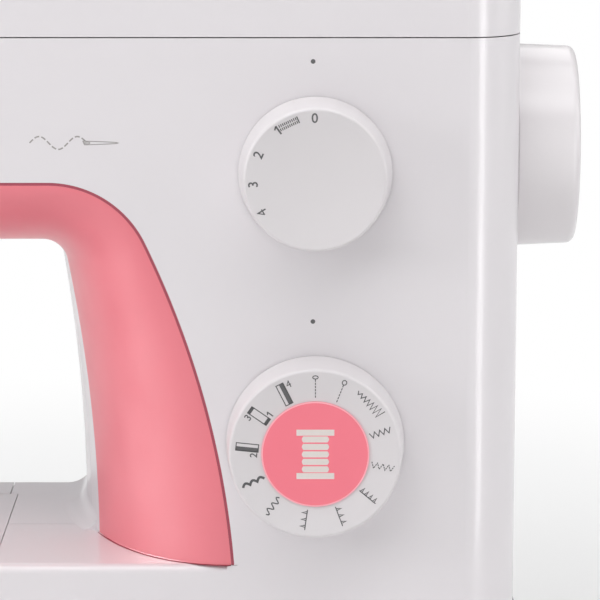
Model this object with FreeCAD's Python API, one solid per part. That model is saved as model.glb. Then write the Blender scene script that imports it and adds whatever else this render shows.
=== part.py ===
import FreeCAD, Part
import math
import os

V = FreeCAD.Vector

# Casing, in millimetres: X to the right, front towards -Y, Z up
body_length = 352.0
front_depth = 58.0
rear_depth = 58.0
parting_y = -3.0
foot_height = 8.0
bed_height = 85.0
seam_height = 268.0
top_depth = 24.0
right_corner = 18.0
left_corner = 14.0
wall = 2.5
cover_gap = 0.4
fit_gap = 0.3
running_fit = 0.05
top_round = 9.0
edge_round = 3.0

# Throat between arm, pillar and bed
head_length = 88.0
head_bottom = 150.0
arm_underside = 188.5
pillar_width = 154.0
throat_corner = 5.2
throat_turn = 81.0
throat_cove = 6.0
flare_depth = 85.0
flare_arm_z = 220.6
pillar_front_width = 97.2
flare_corner = 44.6
flare_turn = 67.3
flare_end_turn = 83.7
flare_cove = 0.6
flare_steps = 5
panel_thickness = 2.5
panel_seam = 0.8
panel_depth = 47.0

# Base and free arm
base_length = 184.0
plate_thickness = 4.0
free_arm_front = 34.0
free_arm_rear = 40.0
free_arm_bottom = 30.0
free_arm_end = 6.0
free_arm_round = 12.0
face_length = 24.0
foot_radius = 9.0
foot_inset = 22.0

# Drive line
shaft_y = 2.0
shaft_z = 223.6
shaft_radius = 5.0
lower_shaft_z = 50.0
lower_shaft_radius = 4.0
wheel_diameter = 71.8
wheel_width = 21.5
wheel_dome = 2.5
wheel_taper = 1.6
wheel_round = 4.0
timing_inset = 124.0
timing_width = 9.0
timing_radius = 18.0
belt_thickness = 1.6
drive_pulley_radius = 30.0
drive_pulley_width = 8.0
motor_pulley_radius = 9.0
motor_radius = 23.0
motor_length = 56.0
motor_y = 26.0
motor_z = 46.0
crank_radius = 17.0
crank_width = 10.0
bush_wall = 2.0

# Dials on the pillar
dial_inset = 69.8
length_dial_z = 222.3
length_dial_base = 52.2
length_dial_face = 48.5
pattern_dial_z = 128.6
pattern_dial_base = 61.3
pattern_dial_face = 58.9
dial_height = 15.6
dial_gap = 0.4
dial_edge = 1.6
dial_shaft_radius = 4.0
dial_cap_diameter = 36.6
dial_cap_proud = 0.25
dial_cap_depth = 1.5
cam_radius = 20.0
cam_width = 3.0
cam_count = 5
length_cam_radius = 12.0

# Needle, presser foot, hook and feed
needle_inset = 46.0
needle_y = 0.0
needle_bar_radius = 3.2
needle_bar_bottom = 134.0
needle_bar_top = 246.0
needle_radius = 0.5
needle_shank = 1.0
needle_tip_z = 97.0
clamp_radius = 5.0
clamp_height = 11.0
swing_z = 256.0
presser_y = 12.0
presser_radius = 3.0
presser_top = 240.0
foot_length = 26.0
foot_width = 18.0
foot_sole = 2.0
plate_sheet = 2.0
hook_y = -16.0
hook_radius = 14.6
hook_top = 80.0
hook_height = 17.0
bobbin_radius = 10.2
bobbin_height = 11.5
feed_row_width = 3.0
feed_row_pitch = 12.0
feed_row_length = 20.0
feed_travel = 2.0
feed_pin = 2.0
hook_gear_radius = 5.6
tooth_depth = 0.8

# Take-up lever, tension dial and reverse lever
take_up_inset = 8.0
take_up_y = 6.0
take_up_z = 236.0
take_up_width = 3.0
take_up_height = 6.0
take_up_swing = 36.0
take_up_reach = 6.0
take_up_eye = 6.0
take_up_tip = 4.0
take_up_pin = 2.5
thread_hole = 1.5
tension_inset = 16.0
tension_z = 226.0
tension_radius = 12.0
tension_height = 8.0
tension_stem = 14.0
tension_sheet = 2.0
tension_step = 1.0
reverse_z = 48.0
reverse_width = 26.0
reverse_height = 16.0
reverse_pivot_y = -40.0
reverse_reach = 10.0
reverse_swing = 8.0
reverse_pin = 3.0
reverse_pin_end = 4.0
ear_reach = 5.0
ear_half = 6.0

# Needle plate, bobbin cover and feed
plate_margin = 10.0
plate_overlap = 4.0
needle_plate_front = -4.0
plate_rear_margin = 4.0
plate_screw_inset = 6.0
plate_screw_hole = 1.6
plate_screw_shank = 1.5
plate_screw_length = 3.0
plate_screw_head = 2.8
plate_screw_height = 0.8
needle_slot_half = 4.0
needle_slot_width = 2.4
cover_margin = 4.0
cover_lip = 2.0
feed_front = 3.2
feed_proud = 0.6
feed_depth = 8.0
feed_tooth = 2.0
feed_drop = 2.4
feed_bar_drop = 16.0
feed_bar_height = 6.0
feed_bar_half = 4.0
feed_bar_reach = 60.0
feed_pin_top = 5.0
feed_bracket = (30.0, 44.0)

# Hook, bobbin case and gears
hook_floor = 2.0
hook_wall = 1.6
hook_notch = 4.0
case_wall = 1.2
case_rise = 0.5
bobbin_flange = 1.0
bobbin_bore = 3.0
hook_gear_height = 10.0
hook_gear_teeth = 10
hook_shaft_radius = 3.0
hook_shaft_end = 4.0
drive_gear_width = 9.0
drive_gear_teeth = 20
timing_teeth = 36
lower_shaft_end = 14.0
crank_inset = 12.0
crank_pin = 2.5
crank_pin_length = 5.0
pulley_gap = 4.0
wheel_cover = 2.0
dial_shaft_depth = 30.0
cam_inset = 8.0
cam_lift = 1.5
length_cam_offset = 2.0

# Handle, lying back in a recess of the top cover
handle_length = 150.0
handle_reach = 44.0
handle_y = -10.0
handle_bar = 9.0
handle_thickness = 8.0
handle_drop = 9.0
handle_pin = 2.5
recess_margin = 7.0
recess_rear = 2.0
recess_depth = 16.0

# Spool pin and bobbin winder
spool_inset = 59.0
spool_y = 36.0
spool_radius = 3.0
spool_length = 56.0
spool_sleeve = 50.0
spool_knob = 4.5
spool_knob_height = 4.0
felt_radius = 14.0
felt_height = 1.2
winder_tyre_radius = 12.0
winder_gap = 5.0
winder_tyre_z = 244.0
winder_tyre_height = 5.0
winder_spindle_radius = 2.5
winder_collar_height = 3.0
winder_arm_z = 254.0
winder_arm_height = 4.0
winder_arm_half = 5.0
winder_eye = 7.0
winder_swing_length = 32.0
winder_reach = 14.0
winder_slot_gap = 0.5
post_radius = 3.0
post_drop = 2.0

# Casting that carries the shafts, the needle bar and the presser bar
frame_y0 = 27.0
frame_y1 = 36.0
frame_low = 28.0
frame_high = 36.0
frame_foot = 40.0
frame_foot_height = 4.0
beam_half = 8.0
bracket_inset = 7.4
bracket_sheet = 3.0
bracket_half = 6.0
guide_half = 6.0
guide_reach = 5.0
guide_height = 8.0
presser_guides = (178.0, 230.0)
bearing_width = 12.0
bearing_wall = 3.0
upper_bearing_insets = (8.0, 26.0)
lower_bearing_insets = (12.0, 30.0)
column_margins = (18.0, 34.0)
hook_bracket_half = 6.0
hook_bracket_sheet = 4.0
lifter_y = 30.0
lifter_z = 164.0
lifter_pin = 2.5
lifter_pin_end = 4.0
lifter_half = 3.0
lifter_eye = 5.0
lifter_arm_half = 2.5
lifter_slot_half = 4.0
lifter_slot_rise = 56.0
motor_gap = 4.0
motor_foot = 10.0
motor_shaft = 3.0
belt_margin = 1.0

# Needle bar frame and presser bar
lug_height = 8.0
lug_levels = (162.0, 196.0)
swing_plate = 2.5
swing_half = 6.0
swing_pin = 3.0
clamp_screw = 2.0
clamp_screw_rise = 3.0
clamp_screw_length = 6.0
needle_point = 4.0
needle_point_end = 0.05
needle_shank_drop = 3.0
presser_bottom = 100.0
presser_collar = 2.0
collar_z = 189.0
collar_height = 4.0
foot_gap = 1.0
foot_rear = 4.0
foot_slot_half = 4.5
foot_slot_width = 4.0
foot_split = 2.0
ankle_half = 5.0
ankle_rise = 14.0
ankle_screw_rise = 7.0
ankle_screw = 3.0
ankle_screw_reach = 11.0
ankle_screw_seat = 4.0

# Mains inlet and rocker switch, on the right side in front of the parting line
socket_corner_gap = 3.0
socket_parting_gap = 8.0
socket_depth = 13.0
inlet_z0 = 18.0
inlet_height = 20.0
inlet_proud = 1.0
inlet_pin = 1.2
inlet_pin_end = 2.0
switch_z0 = 46.0
switch_height = 18.0
switch_proud = 0.6
switch_side = 1.6
switch_ends = 0.9
rocker_pin = 1.5
rocker_depth = 4.0
rocker_proud = 1.5
rocker_side = 2.0
rocker_ends = 1.5

# Accessory tray round the free arm, with a flap in front
tray_gap = 0.5
tray_nose = 4.0
lid_inset = 12.0
lid_low = 8.0
lid_high = 6.0
lid_pin = 1.2

# Lamp and casing screws
lamp_inset = 14.0
lamp_y = -26.0
lamp_half = (6.0, 8.0)
lamp_height = 8.0
lamp_lens = 4.0
bars_half = 14.0
bars_front = 12.0
bars_rear = 10.0
screw_head = 3.2
screw_proud = 1.6
screw_insets = (20.0, 40.0)
screw_drops = (20.0, 50.0)
screw_rise = 30.0

# How far a cutting solid runs past the surface it cuts
over = 1.0

# Derived places
x_left = -(body_length + wheel_width + wheel_dome) / 2
x_right = x_left + body_length
top_height = seam_height + top_depth
throat_foot_x = x_right - pillar_width
flare_foot_x = x_right - pillar_front_width
timing_x = x_right - timing_inset
dial_x = x_right - dial_inset
needle_x = x_left + needle_inset
y_front = -front_depth
y_rear = rear_depth
x_head = x_left + head_length
x_face = x_left + face_length
x_base = x_right - base_length
x_arm_end = x_left + free_arm_end
take_up_x = x_face + take_up_inset
tension_x = x_head - tension_inset
needle_plate_x0 = x_arm_end + plate_margin
needle_plate_x1 = x_head + plate_overlap
needle_plate_rear = free_arm_rear - plate_rear_margin
cover_x0 = needle_x - hook_radius - cover_margin
cover_x1 = needle_x + hook_radius + cover_margin
cover_front = cover_lip - free_arm_front
feed_bar_z = bed_height - feed_bar_drop
hook_bottom = hook_top - hook_height
case_radius = hook_radius - hook_wall - fit_gap
drive_gear_radius = shaft_y - hook_y - hook_gear_radius - fit_gap
lower_shaft_x0 = needle_x - drive_gear_width
lower_shaft_x1 = timing_x + timing_width + lower_shaft_end
main_shaft_x0 = x_head - crank_inset
main_shaft_x1 = x_right + wheel_width - wheel_cover
drive_pulley_x = x_right - wall - pulley_gap - drive_pulley_width
cam_start = y_front + cam_inset
plate_top = foot_height + plate_thickness
handle_x = (x_left + x_right) / 2
handle_z = top_height - handle_drop
spool_x = x_right - spool_inset
winder_y = shaft_y
winder_x = drive_pulley_x - winder_tyre_radius - winder_gap
winder_pivot_y = winder_y + winder_swing_length
bracket_x = needle_x - bracket_inset
lifter_end = front_depth + dial_gap + dial_height + dial_cap_proud
upper_bearings = (x_head + upper_bearing_insets[0], timing_x + timing_width + upper_bearing_insets[1])
lower_bearings = (x_head - lower_bearing_insets[0], timing_x - lower_bearing_insets[1])
column_x0 = timing_x - column_margins[0]
column_x1 = timing_x + timing_width + column_margins[1]
motor_x1 = drive_pulley_x - motor_gap
motor_x0 = motor_x1 - motor_length
socket_y0 = y_front + right_corner + socket_corner_gap
socket_y1 = parting_y - socket_parting_gap
lid_x0 = x_left + lid_inset
lid_x1 = x_base - lid_inset
lid_z0 = plate_top + lid_low
lid_z1 = bed_height - lid_high
lamp_x = x_head - lamp_inset
far = 2 * body_length


def box(x0, x1, y0, y1, z0, z1):
    return Part.makeBox(x1 - x0, y1 - y0, z1 - z0, V(x0, y0, z0))


def rod_x(x0, x1, y, z, radius):
    return Part.makeCylinder(radius, x1 - x0, V(x0, y, z), V(1, 0, 0))


def rod_y(y0, y1, x, z, radius):
    return Part.makeCylinder(radius, y1 - y0, V(x, y0, z), V(0, 1, 0))


def rod_z(z0, z1, x, y, radius):
    return Part.makeCylinder(radius, z1 - z0, V(x, y, z0), V(0, 0, 1))


def joined(shapes):
    shape = shapes[0].fuse(shapes[1:]) if len(shapes) > 1 else shapes[0]
    return shape.removeSplitter()


# A flat outline in plan, with a large radius on the right corners and a smaller one on the left
def plan_prism(inset, z0, z1):
    x0, x1 = x_left + inset, x_right - inset
    y0, y1 = y_front + inset, y_rear - inset
    block = box(x0, x1, y0, y1, z0, z1)
    right = [e for e in block.Edges if upright(e) and e.CenterOfMass.x > 0]
    block = block.makeFillet(max(right_corner - inset, edge_round), right)
    left = [e for e in block.Edges if upright(e) and e.CenterOfMass.x < x0 + edge_round]
    return block.makeFillet(max(left_corner - inset, edge_round), left)


def upright(edge):
    first, last = edge.Vertexes[0].Point, edge.Vertexes[-1].Point
    return abs(first.x - last.x) < 1e-6 and abs(first.y - last.y) < 1e-6


# One cut through the throat at a given depth; share runs from the front edge (0) to the throat (1)
def throat_section(share, depth, grow, floor, side):
    def mix(a, b):
        return a + (b - a) * share

    spread = grow * share + side
    arm_z = mix(flare_arm_z, arm_underside) + spread
    corner = mix(flare_corner, throat_corner) + spread
    cove = mix(flare_cove, throat_cove)
    turn = math.radians(mix(flare_turn, throat_turn))
    end = math.radians(mix(flare_end_turn, 90.0))
    foot_x = mix(flare_foot_x, throat_foot_x) + spread
    drop = arm_z - floor - corner * (1 - math.cos(turn)) - cove * (1 + math.cos(end))
    sweep = drop / (math.cos(turn) - math.cos(end))
    y = y_front + depth

    def along(start, radius, a, b):
        x = start.x + radius * (math.sin(b) - math.sin(a))
        return V(x, y, start.z + radius * (math.cos(b) - math.cos(a)))

    start_x = foot_x - sweep * (math.sin(end) - math.sin(turn)) - corner * math.sin(turn)
    p0 = V(x_left - wall, y, arm_z)
    p1 = V(start_x, y, arm_z)
    p2 = along(p1, corner, 0, turn)
    p3 = along(p2, sweep, turn, end)
    p4 = along(p3, cove, end, math.pi)
    p5 = V(x_left - wall, y, floor)
    m1 = along(p1, corner, 0, turn / 2)
    m2 = along(p2, sweep, turn, (turn + end) / 2)
    m3 = along(p3, cove, end, (end + math.pi) / 2)
    edges = [
        Part.LineSegment(p0, p1).toShape(),
        Part.Arc(p1, m1, p2).toShape(),
        Part.Arc(p2, m2, p3).toShape(),
        Part.Arc(p3, m3, p4).toShape(),
        Part.LineSegment(p4, p5).toShape(),
        Part.LineSegment(p5, p0).toShape(),
    ]
    return Part.Wire(edges)


# The throat as a solid: a quarter ellipse leads from the front plane into the straight throat;
# grow moves the skin back into the casing, and side widens it all round
def flare(grow, floor, side=0.0):
    sections = []
    for step in range(flare_steps + 1):
        angle = math.pi / 2 * step / flare_steps
        depth = flare_depth - (flare_depth - grow) * math.cos(angle)
        sections.append(throat_section(math.sin(angle), depth, grow, floor, side))
    mouth = throat_section(0, 0, grow, floor, side)
    lead = Part.Face(mouth).extrude(V(0, grow, 0)) if grow > 0 else None
    back = Part.Face(sections[-1]).extrude(V(0, y_rear - y_front, 0))
    pieces = [Part.makeLoft(sections, True), back]
    if lead:
        pieces.append(lead)
    return pieces[0].fuse(pieces[1:])


# Everything that is open beside the pillar: the throat, under the head, and left of the base
def open_space(grow, drop):
    low = foot_height - wall
    throat = flare(grow, bed_height - drop)
    throat = throat.common(box(x_head - grow, far, y_front - wall, far, low, far))
    under_head = box(x_left - wall, x_head + grow, y_front - wall, far, low, head_bottom + grow)
    beside = box(x_left - wall, x_base + grow, y_front - wall, far, low, bed_height + wall)
    return throat.fuse([under_head, beside])


def shell():
    outer = plan_prism(0, foot_height, seam_height)
    cavity = plan_prism(wall, foot_height - wall, seam_height + wall)
    cavity = cavity.cut(open_space(wall, wall))
    return outer.cut(cavity).cut(open_space(0, 0))


# A quarter round taken off an edge that runs along X at the front, facing up
def front_edge_cut(x0, x1, y, z, radius):
    corner = box(x0, x1, y - wall, y + radius, z - radius, z + wall)
    keep = rod_x(x0 - wall, x1 + wall, y + radius, z - radius, radius)
    lower = box(x0, x1, y + radius, y + radius + wall, z - radius, z + wall)
    return corner.cut(keep).cut(lower)


def dial_seats():
    return [rod_y(y_front - wall, y_front + 2 * wall, dial_x, z, dial_shaft_radius + running_fit)
            for z in (length_dial_z, pattern_dial_z)]


def front_slots():
    length = shaft_y - y_front + take_up_reach
    low = take_up_z - length * math.sin(math.radians(take_up_swing)) - wall
    slot = box(take_up_x - fit_gap, take_up_x + take_up_width + fit_gap, y_front - wall,
               y_front + 2 * wall, low, take_up_z + 3 * take_up_width)
    half = reverse_width / 2 + fit_gap
    drop = math.sin(math.radians(reverse_swing)) * (reverse_pivot_y - y_front) + wall
    window = box(dial_x - half, dial_x + half, y_front - wall, y_front + 2 * wall,
                 reverse_z - reverse_height / 2 - drop, reverse_z + reverse_height / 2 + fit_gap)
    tension = rod_y(y_front - wall, y_front + 2 * wall, tension_x, tension_z, dial_shaft_radius + running_fit)
    return [slot, window, tension]


def half_covers():
    whole = shell()
    front = whole.common(box(x_face + cover_gap / 2, far, -far, parting_y - cover_gap / 2, -far, far))
    seat = flare(panel_thickness + panel_seam, bed_height, panel_seam)
    seat_end = y_front + panel_depth + cover_gap
    front = front.cut(seat.common(box(x_head, far, -far, seat_end, bed_height, far)))
    front = front.cut(front_edge_cut(x_base, flare_foot_x - edge_round, y_front, bed_height, edge_round))
    front = front.cut(dial_seats() + front_slots())
    rear = whole.common(box(x_face + cover_gap / 2, far, parting_y + cover_gap / 2, far, -far, far))
    face = whole.common(box(-far, x_face - cover_gap / 2, -far, far, -far, far))
    door = free_arm_block(fit_gap, x_base - wall, x_base + wall + fit_gap)
    front = front.cut(door)
    rear = rear.cut(door)
    rear = rear.cut(rod_x(x_right - 2 * wall, x_right + wall, shaft_y, shaft_z, shaft_radius + fit_gap))
    front = front.cut(rod_x(x_right - 2 * wall, x_right + wall, shaft_y, shaft_z, shaft_radius + fit_gap))
    return front, rear, face


def throat_panel():
    band = flare(panel_thickness, bed_height).cut(flare(0, bed_height))
    room = box(x_head + cover_gap, far, -far, y_front + panel_depth, bed_height + cover_gap / 2, far)
    return band.common(room)


def free_arm_block(grow, x0, x1):
    return box(x0, x1, -free_arm_front - grow, free_arm_rear + grow,
               free_arm_bottom - grow, bed_height + grow)


def free_arm():
    block = free_arm_block(0, x_arm_end, x_base + wall)
    ends = [e for e in block.Edges if upright(e) and e.CenterOfMass.x < x_arm_end + 1]
    block = block.makeFillet(free_arm_round, ends)
    room = box(x_arm_end + wall, x_base + 2 * wall, -free_arm_front + wall, free_arm_rear - wall,
               free_arm_bottom + wall, bed_height - plate_sheet - wall)
    ends = [e for e in room.Edges if upright(e) and e.CenterOfMass.x < x_arm_end + 2 * wall]
    room = room.makeFillet(free_arm_round - wall, ends)
    seat = box(needle_plate_x0 - fit_gap, needle_plate_x1 + fit_gap, needle_plate_front - fit_gap,
               needle_plate_rear + fit_gap, bed_height - plate_sheet, bed_height + wall)
    well = box(needle_plate_x0 + wall, needle_plate_x1 - wall, needle_plate_front - fit_gap,
               needle_plate_rear - wall, bed_height - 4 * wall, bed_height)
    lid_seat = box(cover_x0 - fit_gap, cover_x1 + fit_gap, cover_front - fit_gap,
                   needle_plate_front, bed_height - plate_sheet, bed_height + wall)
    lid_well = box(cover_x0 + wall, cover_x1 - wall, cover_front + wall,
                   needle_plate_front, bed_height - 4 * wall, bed_height)
    return block.cut([room, seat, well, lid_seat, lid_well])


def plate_screw_places():
    y = needle_plate_rear - plate_screw_inset
    return [(needle_plate_x0 + plate_screw_inset, y), (needle_plate_x1 - plate_screw_inset, y)]


def needle_plate():
    sheet = box(needle_plate_x0, needle_plate_x1, needle_plate_front, needle_plate_rear,
                bed_height - plate_sheet, bed_height)
    slot = box(needle_x - needle_slot_half, needle_x + needle_slot_half,
               needle_y - needle_slot_width / 2, needle_y + needle_slot_width / 2,
               bed_height - 2 * plate_sheet, bed_height + wall)
    cuts = [slot]
    for side in (-1, 1):
        x = needle_x + side * feed_row_pitch / 2
        half = feed_row_width / 2 + 2 * fit_gap
        y0 = feed_front - feed_travel - 2 * fit_gap
        y1 = feed_front + feed_row_length + feed_travel + 2 * fit_gap
        cuts.append(box(x - half, x + half, y0, y1, bed_height - 2 * plate_sheet, bed_height + wall))
    for x, y in plate_screw_places():
        cuts.append(rod_z(bed_height - 2 * plate_sheet, bed_height + wall, x, y, plate_screw_hole))
    return sheet.cut(cuts)


def feed_dog():
    rows = []
    for side in (-1, 1):
        x = needle_x + side * feed_row_pitch / 2
        rows.append(box(x - feed_row_width / 2, x + feed_row_width / 2, feed_front,
                        feed_front + feed_row_length, bed_height - feed_depth, bed_height + feed_proud))
    teeth = int(feed_row_length / feed_tooth)
    notches = []
    for tooth in range(teeth):
        y = feed_front + (tooth + 0.5) * feed_row_length / teeth
        side = feed_tooth / 4
        groove = box(needle_x - feed_row_pitch, needle_x + feed_row_pitch, -side, side, -side, side)
        groove.rotate(V(0, 0, 0), V(1, 0, 0), 45)
        groove.translate(V(0, y, bed_height + feed_proud))
        notches.append(groove)
    bridge = box(needle_x - feed_row_pitch / 2 - feed_row_width / 2,
                 needle_x + feed_row_pitch / 2 + feed_row_width / 2,
                 feed_front + feed_row_length / 2, feed_front + feed_row_length,
                 bed_height - feed_depth, bed_height - plate_sheet - feed_drop)
    pin_y = feed_front + 0.75 * feed_row_length
    pin = rod_z(bed_height - feed_depth - over, bed_height, needle_x, pin_y, feed_pin + running_fit)
    return joined(rows + [bridge]).cut(notches + [pin])


def feed_bar():
    y0 = feed_front + feed_row_length / 2
    y1 = feed_front + feed_row_length
    x0, x1 = needle_x - feed_bar_half, needle_x + feed_bar_half
    post_top = bed_height - feed_depth - feed_drop - fit_gap
    post = box(x0, x1, y0 + fit_gap, y1 - fit_gap, feed_bar_z, post_top)
    bar = box(x0, needle_x + feed_bar_reach, y0, y1, feed_bar_z - feed_bar_height, feed_bar_z)
    pin = rod_z(feed_bar_z, bed_height - feed_pin_top, needle_x, (y0 + y1) / 2, feed_pin)
    return joined([post, bar, pin])


def bobbin_cover():
    return box(cover_x0, cover_x1, cover_front, needle_plate_front - 2 * fit_gap,
               bed_height - plate_sheet, bed_height)


def rotary_hook():
    cup = rod_z(hook_bottom, hook_top, needle_x, hook_y, hook_radius)
    bore = rod_z(hook_bottom + hook_floor, hook_top + wall, needle_x, hook_y, hook_radius - hook_wall)
    stem_bottom = lower_shaft_z - hook_gear_height / 2 - hook_shaft_end
    stem = rod_z(stem_bottom, hook_bottom, needle_x, hook_y, hook_shaft_radius)
    notch = box(needle_x, needle_x + hook_radius, hook_y + hook_radius / 2, hook_y + 2 * hook_radius,
                hook_top - hook_notch, hook_top + wall)
    return joined([cup.cut(bore).cut(notch), stem])


def bobbin_case():
    low = hook_bottom + hook_floor + fit_gap
    cup = rod_z(low, hook_top + case_rise, needle_x, hook_y, case_radius)
    bore = rod_z(low + case_wall, hook_top + wall, needle_x, hook_y, case_radius - case_wall)
    return cup.cut(bore)


def bobbin():
    low = hook_bottom + hook_floor + fit_gap + case_wall + fit_gap
    core = rod_z(low, low + bobbin_height, needle_x, hook_y, bobbin_radius / 2)
    levels = (low, low + bobbin_height - bobbin_flange)
    discs = [rod_z(z, z + bobbin_flange, needle_x, hook_y, bobbin_radius) for z in levels]
    bore = rod_z(low - over, low + bobbin_height + over, needle_x, hook_y, bobbin_bore)
    return joined([core] + discs).cut(bore)


# A wheel on Z with shallow straight teeth
def toothed_wheel(radius, width, count, bore):
    wheel = rod_z(0, width, 0, 0, radius)
    cuts = [rod_z(-over, width + over, 0, 0, bore)]
    for tooth in range(count):
        angle = 2 * math.pi * tooth / count
        x, y = radius * math.cos(angle), radius * math.sin(angle)
        cuts.append(rod_z(-over, width + over, x, y, min(tooth_depth, math.pi * radius / count / 2)))
    return wheel.cut(cuts)


def lay_on_x(shape, x, y, z):
    shape.rotate(V(0, 0, 0), V(0, 1, 0), 90)
    shape.translate(V(x, y, z))
    return shape


def hook_gear():
    gear = toothed_wheel(hook_gear_radius, hook_gear_height, hook_gear_teeth, hook_shaft_radius + running_fit)
    gear.translate(V(needle_x, hook_y, lower_shaft_z - hook_gear_height / 2))
    return gear


def hook_drive_gear():
    bore = lower_shaft_radius + running_fit
    gear = toothed_wheel(drive_gear_radius, drive_gear_width, drive_gear_teeth, bore)
    return lay_on_x(gear, needle_x - drive_gear_width / 2, shaft_y, lower_shaft_z)


def lower_shaft():
    return rod_x(lower_shaft_x0, lower_shaft_x1, shaft_y, lower_shaft_z, lower_shaft_radius)


def timing_pulley(z, bore):
    pulley = toothed_wheel(timing_radius, timing_width, timing_teeth, bore + running_fit)
    return lay_on_x(pulley, timing_x, shaft_y, z)


# A flat belt round two wheels on parallel X axes; the loop is a ring in the YZ plane
def belt(x0, x1, y_a, z_a, r_a, y_b, z_b, r_b):
    def loop(grow):
        ra, rb = r_a + grow, r_b + grow
        length = math.hypot(y_b - y_a, z_b - z_a)
        base = math.atan2(z_b - z_a, y_b - y_a)
        lean = math.acos((ra - rb) / length)

        def at(y, z, r, angle):
            return V(x0, y + r * math.cos(angle), z + r * math.sin(angle))

        a1, a2 = at(y_a, z_a, ra, base + lean), at(y_a, z_a, ra, base - lean)
        b1, b2 = at(y_b, z_b, rb, base + lean), at(y_b, z_b, rb, base - lean)
        edges = [
            Part.LineSegment(a2, b2).toShape(),
            Part.Arc(b2, at(y_b, z_b, rb, base), b1).toShape(),
            Part.LineSegment(b1, a1).toShape(),
            Part.Arc(a1, at(y_a, z_a, ra, base + math.pi), a2).toShape(),
        ]
        return Part.Face(Part.Wire(edges)).extrude(V(x1 - x0, 0, 0))

    return loop(fit_gap + belt_thickness).cut(loop(fit_gap))


def main_shaft():
    return rod_x(main_shaft_x0, main_shaft_x1, shaft_y, shaft_z, shaft_radius)


def crank_disc():
    x0 = main_shaft_x0 - crank_width
    disc = rod_x(x0, main_shaft_x0, shaft_y, shaft_z, crank_radius)
    pin = rod_x(x0 - crank_pin_length, x0, shaft_y, shaft_z + crank_radius - 2 * crank_pin, crank_pin)
    return joined([disc, pin])


def drive_pulley():
    x0, x1 = drive_pulley_x, drive_pulley_x + drive_pulley_width
    wheel = rod_x(x0, x1, shaft_y, shaft_z, drive_pulley_radius)
    bore = rod_x(x0 - over, x1 + over, shaft_y, shaft_z, shaft_radius + running_fit)
    return wheel.cut(bore)


def handwheel():
    r = wheel_diameter / 2
    x0, x1 = x_right + cover_gap, x_right + wheel_width
    rim = r - wheel_taper
    flat = rim - wheel_round
    ball = (flat ** 2 + wheel_dome ** 2) / (2 * wheel_dome)
    half = math.asin(flat / ball) / 2
    dome_x = x1 + wheel_dome - ball * (1 - math.cos(half))
    k = wheel_round * (1 - math.sqrt(0.5))
    profile = [
        Part.LineSegment(V(x0, 0, 0), V(x0, 0, r)),
        Part.LineSegment(V(x0, 0, r), V(x1 - wheel_round, 0, rim)),
        Part.Arc(V(x1 - wheel_round, 0, rim), V(x1 - k, 0, rim - k), V(x1, 0, flat)),
        Part.Arc(V(x1, 0, flat), V(dome_x, 0, ball * math.sin(half)), V(x1 + wheel_dome, 0, 0)),
        Part.LineSegment(V(x1 + wheel_dome, 0, 0), V(x0, 0, 0)),
    ]
    face = Part.Face(Part.Wire([edge.toShape() for edge in profile]))
    wheel = face.revolve(V(0, 0, 0), V(1, 0, 0), 360)
    wheel.translate(V(0, shaft_y, shaft_z))
    bore = rod_x(x0 - over, main_shaft_x1 + fit_gap, shaft_y, shaft_z, shaft_radius + running_fit)
    return wheel.cut(bore)


# Dial, turned about an axis along Y; the outer face looks to the front
def dial_body(x, z, base, face, shaft_depth):
    y0 = y_front - dial_gap
    y1 = y0 - dial_height
    rb, rf = base / 2, face / 2
    lean = (rb - rf) / dial_height
    edge_y = y1 + dial_edge
    edge_r = rf + lean * dial_edge
    k = dial_edge * (1 - math.sqrt(0.5))
    profile = [
        Part.LineSegment(V(0, y0, 0), V(rb, y0, 0)),
        Part.LineSegment(V(rb, y0, 0), V(edge_r, edge_y, 0)),
        Part.Arc(V(edge_r, edge_y, 0), V(rf - k, y1 + k, 0), V(rf - dial_edge, y1, 0)),
        Part.LineSegment(V(rf - dial_edge, y1, 0), V(0, y1, 0)),
        Part.LineSegment(V(0, y1, 0), V(0, y0, 0)),
    ]
    knob = Part.Face(Part.Wire([edge.toShape() for edge in profile])).revolve(V(0, 0, 0), V(0, 1, 0), 360)
    knob.translate(V(x, 0, z))
    shaft = rod_y(y0, y_front + shaft_depth, x, z, dial_shaft_radius)
    return joined([knob, shaft])


def stitch_length_dial():
    return dial_body(dial_x, length_dial_z, length_dial_base, length_dial_face, dial_shaft_depth)


def length_cam():
    y0, y1 = cam_start, cam_start + cam_width
    disc = rod_y(y0, y1, dial_x + length_cam_offset, length_dial_z, length_cam_radius)
    bore = rod_y(y0 - over, y1 + over, dial_x, length_dial_z, dial_shaft_radius + running_fit)
    return disc.cut(bore)


def pattern_dial():
    knob = dial_body(dial_x, pattern_dial_z, pattern_dial_base, pattern_dial_face, dial_shaft_depth)
    y1 = y_front - dial_gap - dial_height
    seat_y = y1 + dial_cap_depth - dial_cap_proud
    seat = rod_y(y1 - over, seat_y, dial_x, pattern_dial_z, dial_cap_diameter / 2 + running_fit)
    return knob.cut(seat)


def pattern_dial_cap():
    y0 = y_front - dial_gap - dial_height - dial_cap_proud
    return rod_y(y0, y0 + dial_cap_depth, dial_x, pattern_dial_z, dial_cap_diameter / 2)


def pattern_cams():
    discs = []
    for cam in range(cam_count):
        y = cam_start + cam * cam_width
        lift = cam_radius - cam_lift * (cam % 2)
        discs.append(rod_y(y, y + cam_width, dial_x, pattern_dial_z, lift))
    end = cam_start + cam_count * cam_width
    bore = rod_y(cam_start - over, end + over, dial_x, pattern_dial_z, dial_shaft_radius + running_fit)
    return joined(discs).cut(bore)


def base_plate():
    return plan_prism(wall + fit_gap, foot_height, plate_top)


def rubber_feet():
    feet = []
    for x in (x_left + foot_inset, x_right - foot_inset):
        for y in (y_front + foot_inset, y_rear - foot_inset):
            feet.append(rod_z(0, foot_height, x, y, foot_radius))
    return Part.makeCompound(feet)


def handle_recess(grow):
    half = handle_length / 2 + fit_gap
    return box(handle_x - half - grow, handle_x + half + grow, handle_y - recess_margin - grow,
               handle_y + handle_reach + handle_bar / 2 + recess_rear + grow,
               top_height - recess_depth - grow, far)


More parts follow.
